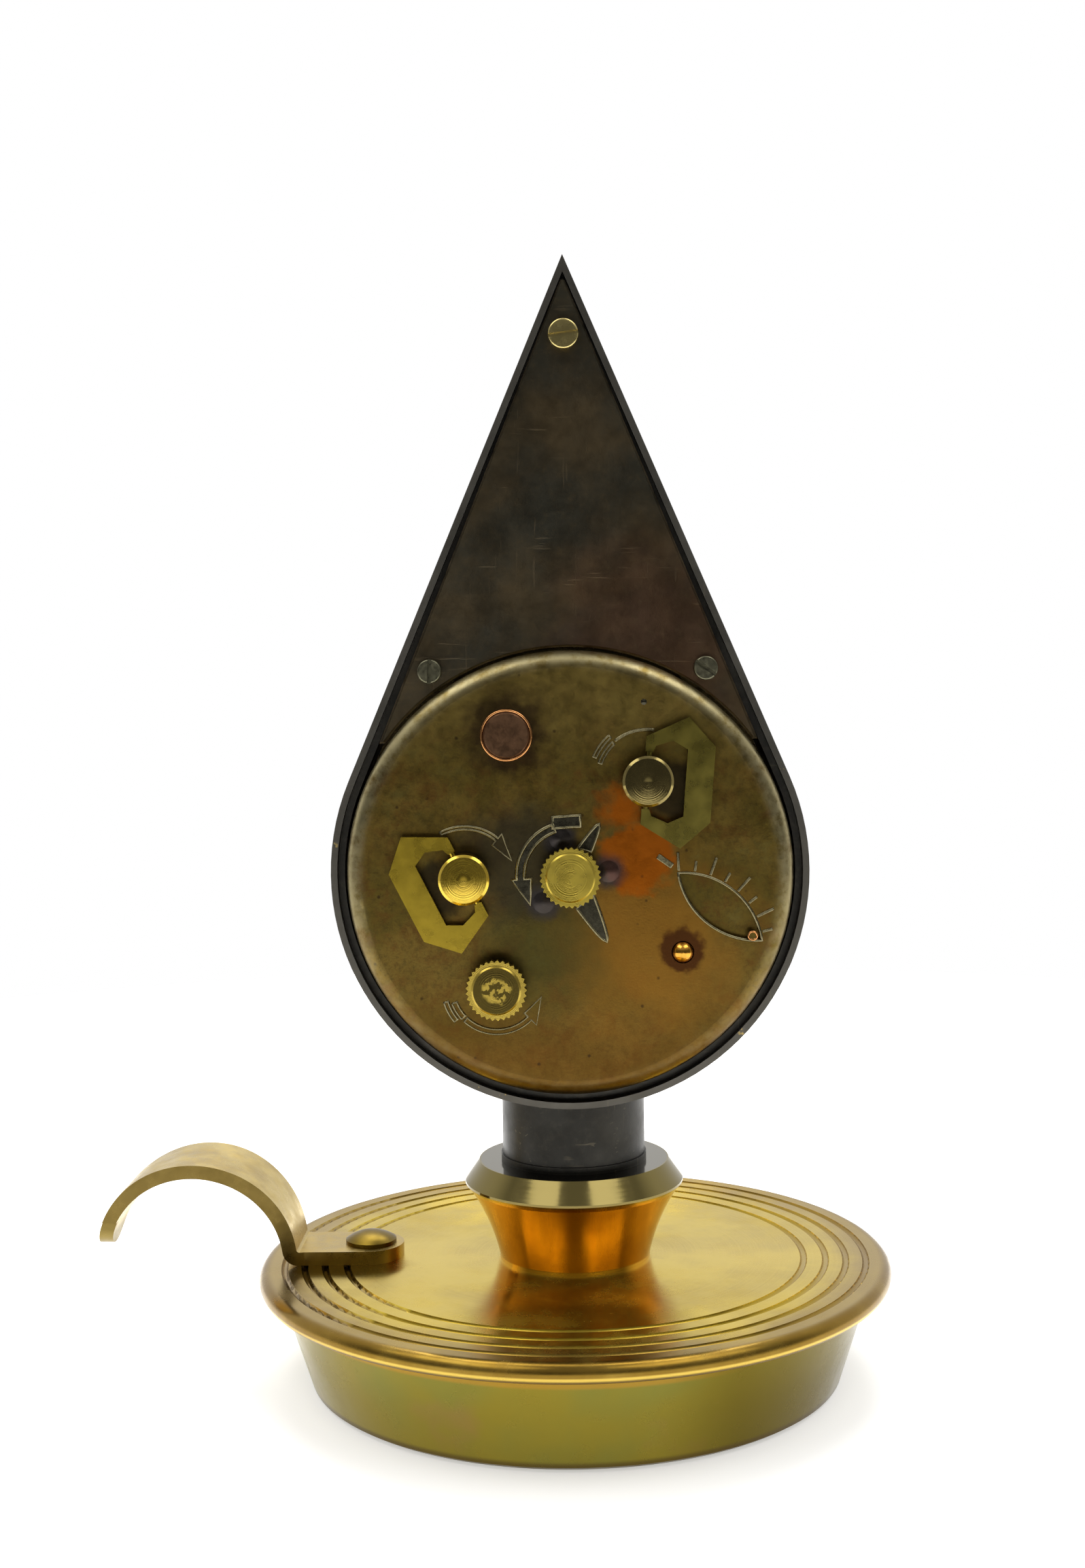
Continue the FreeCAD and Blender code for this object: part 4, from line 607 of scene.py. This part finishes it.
def make_materials():
    return {
        "patina": dark_patina(),
        "plate": plate_patina(),
        "cover": cover_brass(),
        "shield": cover_brass("shield_brass", stains_and_painted_light=False),
        "base": base_brass(),
        "socket": socket_brass(),
        "handle": handle_brass(),
        "time_bow": clean_brass("time_bow_brass", (0.46, 0.325, 0.034), 0.28),
        "alarm_bow": clean_brass("alarm_bow_brass", (0.27, 0.22, 0.045), 0.28),
        "time_post": clean_brass("time_post_brass", (0.76, 0.53, 0.075), 0.15, TIME_KEY),
        "alarm_post": clean_brass("alarm_post_brass", (0.30, 0.235, 0.085), 0.13, ALARM_KEY),
        "knob": clean_brass("knob_brass", (0.56, 0.42, 0.065), 0.26, CENTRE),
        "alarm_knob": clean_brass("alarm_knob_brass", (0.50, 0.36, 0.065), 0.26, ALARM_SET, True),
        "rivet": clean_brass("rivet_brass", (0.165, 0.108, 0.012), 0.36),
        "top_screw": clean_brass("screw_brass", (0.74, 0.60, 0.24), 0.25),
        "copper": plain_metal("copper", (0.78, 0.36, 0.13), 0.22, 1.2),
        "button": plain_metal("button_face", (0.14, 0.075, 0.04), 0.45, 1.6),
        "relief": plain_metal("relief_edges", (0.27, 0.235, 0.13), 0.30, 0.6),
        "sunk": plain_metal("relief_sunk", (0.075, 0.068, 0.045), 0.26, 1.5),
        "bearing": plain_metal("bearing_brass", (0.80, 0.40, 0.06), 0.18, 1.2),
        "front": clean_brass("front_brass", (0.74, 0.56, 0.24), 0.28),
        "dial": dial_paint(),
        "black": lacquer("hand_black", (0.012, 0.012, 0.014)),
        "gilt": clean_brass("gilt", (0.80, 0.58, 0.22), 0.22),
        "glass": crystal_glass(),
        "movement": clean_brass("movement_brass", (0.72, 0.57, 0.24), 0.30),
        "steel": plain_metal("steel", (0.50, 0.50, 0.51), 0.28),
        "nickel": plain_metal("nickel", (0.19, 0.18, 0.115), 0.36, 0.8),
        "blued": plain_metal("blued_steel", (0.06, 0.08, 0.17), 0.25),
        "felt": felt(),
        "iron": cast_iron(),
    }


FINISH = {
    "patina": ("case_band", "candle_tube"),
    "plate": ("back_plate",),
    "cover": ("movement_cover",),
    "shield": ("regulator_lever",),
    "base": ("base_top", "base_pan"),
    "socket": ("candle_socket",),
    "handle": ("carrying_handle",),
    "rivet": ("handle_rivet",),
    "time_bow": ("time_key_bow",),
    "alarm_bow": ("alarm_key_bow",),
    "time_post": ("time_key_post",),
    "alarm_post": ("alarm_key_post",),
    "knob": ("hand_set_knob",),
    "alarm_knob": ("alarm_set_knob",),
    "top_screw": ("top_screw",),
    "bearing": ("balance_bearing_screw",),
    "button": ("stop_button",),
    "front": ("case_front", "bezel"),
    "dial": ("dial",),
    "black": ("hour_hand", "minute_hand"),
    "gilt": ("alarm_hand",),
    "glass": ("crystal",),
    "movement": (
        "main_plate", "rear_plate", "back_plate_posts", "time_barrel", "alarm_barrel",
        "intermediate_wheel", "centre_wheel", "third_wheel", "fourth_wheel", "escape_wheel",
        "minute_wheel", "hour_wheel", "alarm_wheel", "alarm_set_arbor", "alarm_escape_wheel",
        "cannon_pinion", "balance_wheel"),
    "steel": (
        "tie_rod", "tie_rod_nut", "movement_screws", "centre_arbor", "pallet_lever", "time_click",
        "alarm_click", "time_winding_arbor", "alarm_winding_arbor", "hammer", "stop_button_spring"),
    "nickel": ("lower_screws",),
    "blued": ("time_mainspring", "alarm_mainspring", "hairspring"),
    "felt": ("base_felt",),
    "iron": ("base_weight",),
}


def finish_nodes(nodes, materials):
    for finish, names in FINISH.items():
        for name in names:
            mesh = nodes[name].data
            mesh.materials.clear()
            mesh.materials.append(materials[finish])
    bevel = nodes["carrying_handle"].modifiers.new("rolled edge", "BEVEL")
    bevel.width = 0.4 * MM
    bevel.segments = 3
    bevel.limit_method = "ANGLE"
    bevel.angle_limit = math.radians(50)


# ---------------------------------------------------------------- stamped relief of the cover

def arrow(centre, inner, outer, start, end, tip, head_in, head_out):
    """Curved arrow: a band between two radii, and a head from head_in and head_out to its tip."""
    outline = arc(centre, outer, start, end)
    outline.append(seen(centre, head_out, end))
    outline.append(seen(centre, (inner + outer) / 2, tip))
    outline.append(seen(centre, head_in, end))
    return outline + arc(centre, inner, end, start)


def band(centre, inner, outer, start, end):
    return arc(centre, outer, start, end) + arc(centre, inner, end, start)


def leaf(centre, direction, root, tip, half_width):
    """Outline of a hand pictogram from root to tip."""
    outline = []
    count = 12
    for side in (1, -1):
        for k in range(count):
            share = k / count if side == 1 else 1 - k / count
            along = root + (tip - root) * share
            width = half_width * (1 - share) ** 0.6 * side
            spread = math.degrees(math.atan2(width, along))
            outline.append(seen(centre, math.hypot(along, width), direction + spread))
    return outline


def bar(a, b, width):
    """Straight bar with square ends."""
    dx, dz = b[0] - a[0], b[1] - a[1]
    span = math.hypot(dx, dz)
    ox, oz = -dz / span * width / 2, dx / span * width / 2
    return [
        (a[0] + ox, a[1] + oz), (b[0] + ox, b[1] + oz),
        (b[0] - ox, b[1] - oz), (a[0] - ox, a[1] - oz)]


def slot_outline(grow, count=28):
    """The regulator slot's two arcs, moved out by grow."""
    dx, dz = SLOT_MIDDLE[0] - BALANCE[0], SLOT_MIDDLE[1] - BALANCE[1]
    reach = math.hypot(dx, dz)
    radius = SLOT_ARC_R + grow
    half = math.degrees(math.acos(reach / radius))
    toward = math.degrees(math.atan2(dz, dx))
    far = (2 * SLOT_MIDDLE[0] - BALANCE[0], 2 * SLOT_MIDDLE[1] - BALANCE[1])
    places = []
    for middle, facing in ((BALANCE, toward), (far, toward + 180)):
        for k in range(count):
            turn = math.radians(facing - half + 2 * half * k / count)
            places.append((middle[0] + radius * math.cos(turn), middle[1] + radius * math.sin(turn)))
    return places


def regulator_scale():
    """Ticks along the outer arc of the slot, long and short in turn."""
    dx, dz = SLOT_MIDDLE[0] - BALANCE[0], SLOT_MIDDLE[1] - BALANCE[1]
    toward = math.degrees(math.atan2(dz, dx))
    outlines = []
    start = SLOT_ARC_R + TICK_GAP
    for k in range(TICK_COUNT):
        turn = math.radians(toward + TICK_FIRST + TICK_STEP * k)
        end = start + TICK_LENGTHS[k % 2]
        a = (BALANCE[0] + start * math.cos(turn), BALANCE[1] + start * math.sin(turn))
        b = (BALANCE[0] + end * math.cos(turn), BALANCE[1] + end * math.sin(turn))
        outlines.append(bar(a, b, TICK_WIDTH))
    return outlines


def stamped(name, outlines, materials, rise, line, fill="cover"):
    """A sign stamped in the cover: its shape stands up a little, inside a raised line."""
    mesh = relief_mesh(name, outlines, COVER_Y - 0.1, COVER_Y + rise)
    new_object(name, mesh, materials[fill], "clock_body")
    for k, outline in enumerate(outlines):
        edge = "%s_edge_%d" % (name, k + 1)
        bead(edge, outline, COVER_Y + 0.02, line, materials["relief"])


def cover_relief(materials):
    """Arrows, hand signs, regulator scale and bumps stamped in the cover."""
    relief = materials["relief"]
    time_arrow = arrow(TIME_KEY, 5.9, 6.3, 118, 49, 19, 5.2, 7.0)
    stamped("time_key_arrow", [time_arrow], materials, 0.08, 0.16)
    centre_arrow = arrow(CENTRE, 5.65, 6.6, 108, 184, 216, 4.8, 7.2)
    tail = [seen(CENTRE, math.hypot(x, z), math.degrees(math.atan2(z, x)))
            for x, z in ((-2.1, 7.2), (1.3, 7.4), (1.3, 6.0), (-2.1, 5.8))]
    stamped("hand_set_arrow", [centre_arrow, tail], materials, 0.08, 0.22, "sunk")
    set_arrow = arrow(ALARM_SET, 5.3, 5.9, 226, 315, 346, 4.7, 6.8)
    feathers = [band(ALARM_SET, 5.3, 5.9, 200, 222), band(ALARM_SET, 6.3, 6.8, 196, 219)]
    stamped("alarm_set_arrow", [set_arrow, *feathers], materials, 0.1, 0.15)
    key_line = band(ALARM_KEY, 6.1, 6.25, 82, 128)
    key_feathers = [band(ALARM_KEY, 5.9, 6.3, 132, 160), band(ALARM_KEY, 6.8, 7.2, 130, 156)]
    stamped("alarm_key_arrow", [key_line, *key_feathers], materials, 0.06, 0.14)
    stamped("short_hand_sign", [leaf(CENTRE, 60, 3.4, 7.3, 0.85)], materials, 0.1, 0.18, "sunk")
    stamped("long_hand_sign", [leaf(CENTRE, -62, 3.4, 9.4, 1.35)], materials, 0.1, 0.21, "sunk")
    raised("regulator_scale", regulator_scale(), relief, 0.16, 0.09)
    raised("minus_bar", [bar(*MINUS_BAR, 0.75)], relief, 0.2, 0.12)
    bead("slot_rim", slot_outline(0.08), COVER_Y, 0.19, relief)
    for k, turn in enumerate(BUMP_TURNS):
        place = seen(CENTRE, BUMP_REACH, turn)
        dome_bump("cover_bump_%d" % (k + 1), place, BUMP_R, BUMP_RISE, materials["cover"])
    dome_bump("cover_dimple", DIMPLE, DIMPLE_R, 0.12, materials["sunk"])


def dome_bump(name, place, radius, rise, material):
    """Low round dome pushed out of the cover."""
    bm = bmesh.new()
    rings = 8
    spokes = 32
    rows = []
    for ring in range(rings + 1):
        share = 1 - ring / rings
        height = rise * (0.5 + 0.5 * math.cos(math.pi * share)) - 0.02
        row = [bm.verts.new(on_cover(seen(place, radius * share, 360 / spokes * k), COVER_Y + height))
               for k in range(spokes if ring < rings else 1)]
        rows.append(row)
    for low, high in zip(rows, rows[1:]):
        for k in range(spokes):
            after = (k + 1) % spokes
            if len(high) == 1:
                bm.faces.new((low[k], low[after], high[0]))
            else:
                bm.faces.new((low[k], low[after], high[after], high[k]))
    bm.faces.new(rows[0])
    bmesh.ops.recalc_face_normals(bm, faces=bm.faces)
    mesh = bpy.data.meshes.new(name)
    bm.to_mesh(mesh)
    bm.free()
    smooth(new_object(name, mesh, material, "clock_body"))


def cover_rings(materials):
    """Copper eyelet round the stop button, and the ring on the regulator index."""
    copper = materials["copper"]
    bead("button_eyelet", circle(BUTTON, EYELET_R), COVER_Y + 0.02, 0.17, copper)
    index = (BALANCE[0] + INDEX_R * math.cos(math.radians(INDEX_ANGLE)),
             BALANCE[1] + INDEX_R * math.sin(math.radians(INDEX_ANGLE)))
    ring = circle(index, INDEX_RING_R, 24)
    bead("index_ring", ring, COVER_Y + 0.48, 0.13, copper, "regulator")


# ---------------------------------------------------------------- dial

DIAL_FACE_Y = -7.9
NUMERAL_R = 17.2
NUMERAL_SIZE = 5.0


def front_place(radius, clock_degrees, y):
    """Place on the dial: clockwise degrees from twelve, seen from the front."""
    turn = math.radians(clock_degrees)
    return Vector((radius * math.sin(turn) * MM, y * MM, (MOVEMENT_Z + radius * math.cos(turn)) * MM))


def dial_marks(material):
    """Minute track with longer hour marks, and a small ring of alarm marks."""
    bm = bmesh.new()
    rows = [
        (60, 21.6, 22.4, 0.22), (12, 21.0, 23.0, 0.55),
        (12, 11.4, 12.0, 0.25), (48, 11.4, 11.7, 0.14)]
    for count, inner, outer, width in rows:
        for k in range(count):
            turn = 360 / count * k
            corners = []
            for radius, side in ((inner, -1), (outer, -1), (outer, 1), (inner, 1)):
                spread = math.degrees(math.atan2(side * width / 2, radius))
                corners.append((radius, turn + spread))
            low = [bm.verts.new(front_place(r, t, DIAL_FACE_Y + 0.02)) for r, t in corners]
            top = [bm.verts.new(front_place(r, t, DIAL_FACE_Y - 0.04)) for r, t in corners]
            bm.faces.new(low)
            bm.faces.new(top)
            for i in range(4):
                bm.faces.new((low[i], low[(i + 1) % 4], top[(i + 1) % 4], top[i]))
    bmesh.ops.recalc_face_normals(bm, faces=bm.faces)
    mesh = bpy.data.meshes.new("dial_marks")
    bm.to_mesh(mesh)
    bm.free()
    new_object("dial_marks", mesh, material, "clock_body")


def dial_numerals(material):
    """Numbers one to twelve, upright."""
    pieces = []
    for hour in range(1, 13):
        text = bpy.data.curves.new("numeral", "FONT")
        text.body = str(hour)
        text.size = NUMERAL_SIZE * MM
        text.extrude = 0.03 * MM
        text.align_x = "CENTER"
        text.align_y = "CENTER"
        item = bpy.data.objects.new("numeral", text)
        place = Matrix.Translation(front_place(NUMERAL_R, hour * 30, DIAL_FACE_Y))
        item.matrix_world = place @ Matrix.Rotation(math.radians(90), 4, "X")
        bpy.context.scene.collection.objects.link(item)
        pieces.append(item)
    bpy.context.view_layer.update()
    depsgraph = bpy.context.evaluated_depsgraph_get()
    bm = bmesh.new()
    for item in pieces:
        mesh = bpy.data.meshes.new_from_object(item.evaluated_get(depsgraph))
        mesh.transform(item.matrix_world)
        bm.from_mesh(mesh)
        bpy.data.meshes.remove(mesh)
        bpy.data.objects.remove(item)
    bmesh.ops.remove_doubles(bm, verts=bm.verts, dist=1e-7)
    mesh = bpy.data.meshes.new("dial_numerals")
    bm.to_mesh(mesh)
    bm.free()
    new_object("dial_numerals", mesh, material, "clock_body")


# ---------------------------------------------------------------- stage, light and camera

def make_floor():
    """Round white table top of radius FLOOR_R about the clock's axis."""
    bm = bmesh.new()
    bmesh.ops.create_circle(bm, cap_ends=True, segments=96, radius=FLOOR_R)
    mesh = bpy.data.meshes.new("floor")
    bm.to_mesh(mesh)
    bm.free()
    floor = bpy.data.objects.new("floor", mesh)
    bpy.context.scene.collection.objects.link(floor)
    material = bpy.data.materials.new("floor")
    material.use_nodes = True
    bsdf = material.node_tree.nodes["Principled BSDF"]
    bsdf.inputs["Base Color"].default_value = (0.86, 0.86, 0.855, 1)
    bsdf.inputs["Roughness"].default_value = 0.9
    bsdf.inputs["Specular IOR Level"].default_value = 0.1
    bsdf.inputs["Emission Color"].default_value = (1.0, 0.995, 0.97, 1)
    bsdf.inputs["Emission Strength"].default_value = FLOOR_GLOW
    mesh.materials.append(material)


def make_world():
    """Pale backdrop, grey ceiling and dark room for the metal to mirror; the camera sees white."""
    world = bpy.data.worlds.new("studio")
    bpy.context.scene.world = world
    world.use_nodes = True
    tree = world.node_tree
    tree.nodes.clear()

    def ramp(value, low, high, out_low, out_high):
        node = tree.nodes.new("ShaderNodeMapRange")
        node.interpolation_type = "SMOOTHSTEP"
        tree.links.new(value, node.inputs[0])
        for index, limit in enumerate((low, high, out_low, out_high), start=1):
            node.inputs[index].default_value = limit
        return node.outputs[0]

    output = tree.nodes.new("ShaderNodeOutputWorld")
    place = tree.nodes.new("ShaderNodeTexCoord")
    split = tree.nodes.new("ShaderNodeSeparateXYZ")
    tree.links.new(place.outputs["Generated"], split.inputs[0])
    ceiling = ramp(split.outputs["Z"], 0.22, 0.62, ROOM_DARK, CEILING)
    backdrop = ramp(split.outputs["Y"], 0.30, -0.35, ROOM_DARK, BACKDROP)
    brighter = tree.nodes.new("ShaderNodeMath")
    brighter.operation = "MAXIMUM"
    tree.links.new(ceiling, brighter.inputs[0])
    tree.links.new(backdrop, brighter.inputs[1])
    room = tree.nodes.new("ShaderNodeBackground")
    tree.links.new(brighter.outputs[0], room.inputs["Color"])
    white = tree.nodes.new("ShaderNodeBackground")
    white.inputs["Color"].default_value = (1, 1, 1, 1)
    rays = tree.nodes.new("ShaderNodeLightPath")
    choose = tree.nodes.new("ShaderNodeMixShader")
    tree.links.new(rays.outputs["Is Camera Ray"], choose.inputs[0])
    tree.links.new(room.outputs[0], choose.inputs[1])
    tree.links.new(white.outputs[0], choose.inputs[2])
    tree.links.new(choose.outputs[0], output.inputs["Surface"])


def soft_light(name, place, aim, size, watts):
    lamp = bpy.data.lights.new(name, "AREA")
    lamp.shape = "RECTANGLE"
    lamp.size, lamp.size_y = size
    lamp.energy = watts
    item = bpy.data.objects.new(name, lamp)
    item.location = place
    item.rotation_euler = (Vector(aim) - Vector(place)).to_track_quat("-Z", "Y").to_euler()
    bpy.context.scene.collection.objects.link(item)


def make_lights():
    middle = (0, 0, 0.07)
    soft_light("behind", (0, -0.30, 0.70), middle, (0.5, 0.5), 4.6)
    soft_light("left_box", (0.367, 0.212, 0.71), middle, (0.62, 0.33), 1.5)
    soft_light("right_box", (-0.351, 0.237, 0.71), middle, (0.55, 0.33), 1.4)


def make_camera():
    azimuth, pitch, roll = (math.radians(a) for a in (CAMERA_AZIMUTH, CAMERA_PITCH, CAMERA_ROLL))
    ahead = Vector((
        -math.sin(azimuth) * math.cos(pitch), -math.cos(azimuth) * math.cos(pitch), -math.sin(pitch)))
    level = Vector((-math.cos(azimuth), math.sin(azimuth), 0))
    above = level.cross(ahead)
    right = level * math.cos(roll) + above * math.sin(roll)
    up = above * math.cos(roll) - level * math.sin(roll)
    lens = bpy.data.cameras.new("camera")
    lens.sensor_width = 36
    lens.lens = 36 * FOCAL_SHARE
    lens.shift_x = CAMERA_SHIFT
    lens.clip_start = 0.01
    camera = bpy.data.objects.new("camera", lens)
    turn = Matrix((right, up, -ahead)).transposed().to_4x4()
    spot = Vector((
        math.sin(azimuth) * CAMERA_DISTANCE, math.cos(azimuth) * CAMERA_DISTANCE, CAMERA_HEIGHT))
    camera.matrix_world = Matrix.Translation(spot * MM) @ turn
    bpy.context.scene.collection.objects.link(camera)
    bpy.context.scene.camera = camera


# ---------------------------------------------------------------- the scene

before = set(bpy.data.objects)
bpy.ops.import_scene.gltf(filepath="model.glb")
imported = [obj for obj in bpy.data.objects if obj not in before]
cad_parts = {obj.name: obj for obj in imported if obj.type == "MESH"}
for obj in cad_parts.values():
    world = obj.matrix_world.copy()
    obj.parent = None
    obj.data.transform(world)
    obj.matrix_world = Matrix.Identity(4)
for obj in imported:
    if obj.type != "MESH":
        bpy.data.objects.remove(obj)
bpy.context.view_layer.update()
make_camera()
make_floor()
make_world()
make_lights()
bpy.context.scene.view_settings.view_transform = "Standard"
materials = make_materials()
finish_nodes(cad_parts, materials)
cover_relief(materials)
cover_rings(materials)
dial_marks(materials["black"])
dial_numerals(materials["black"])
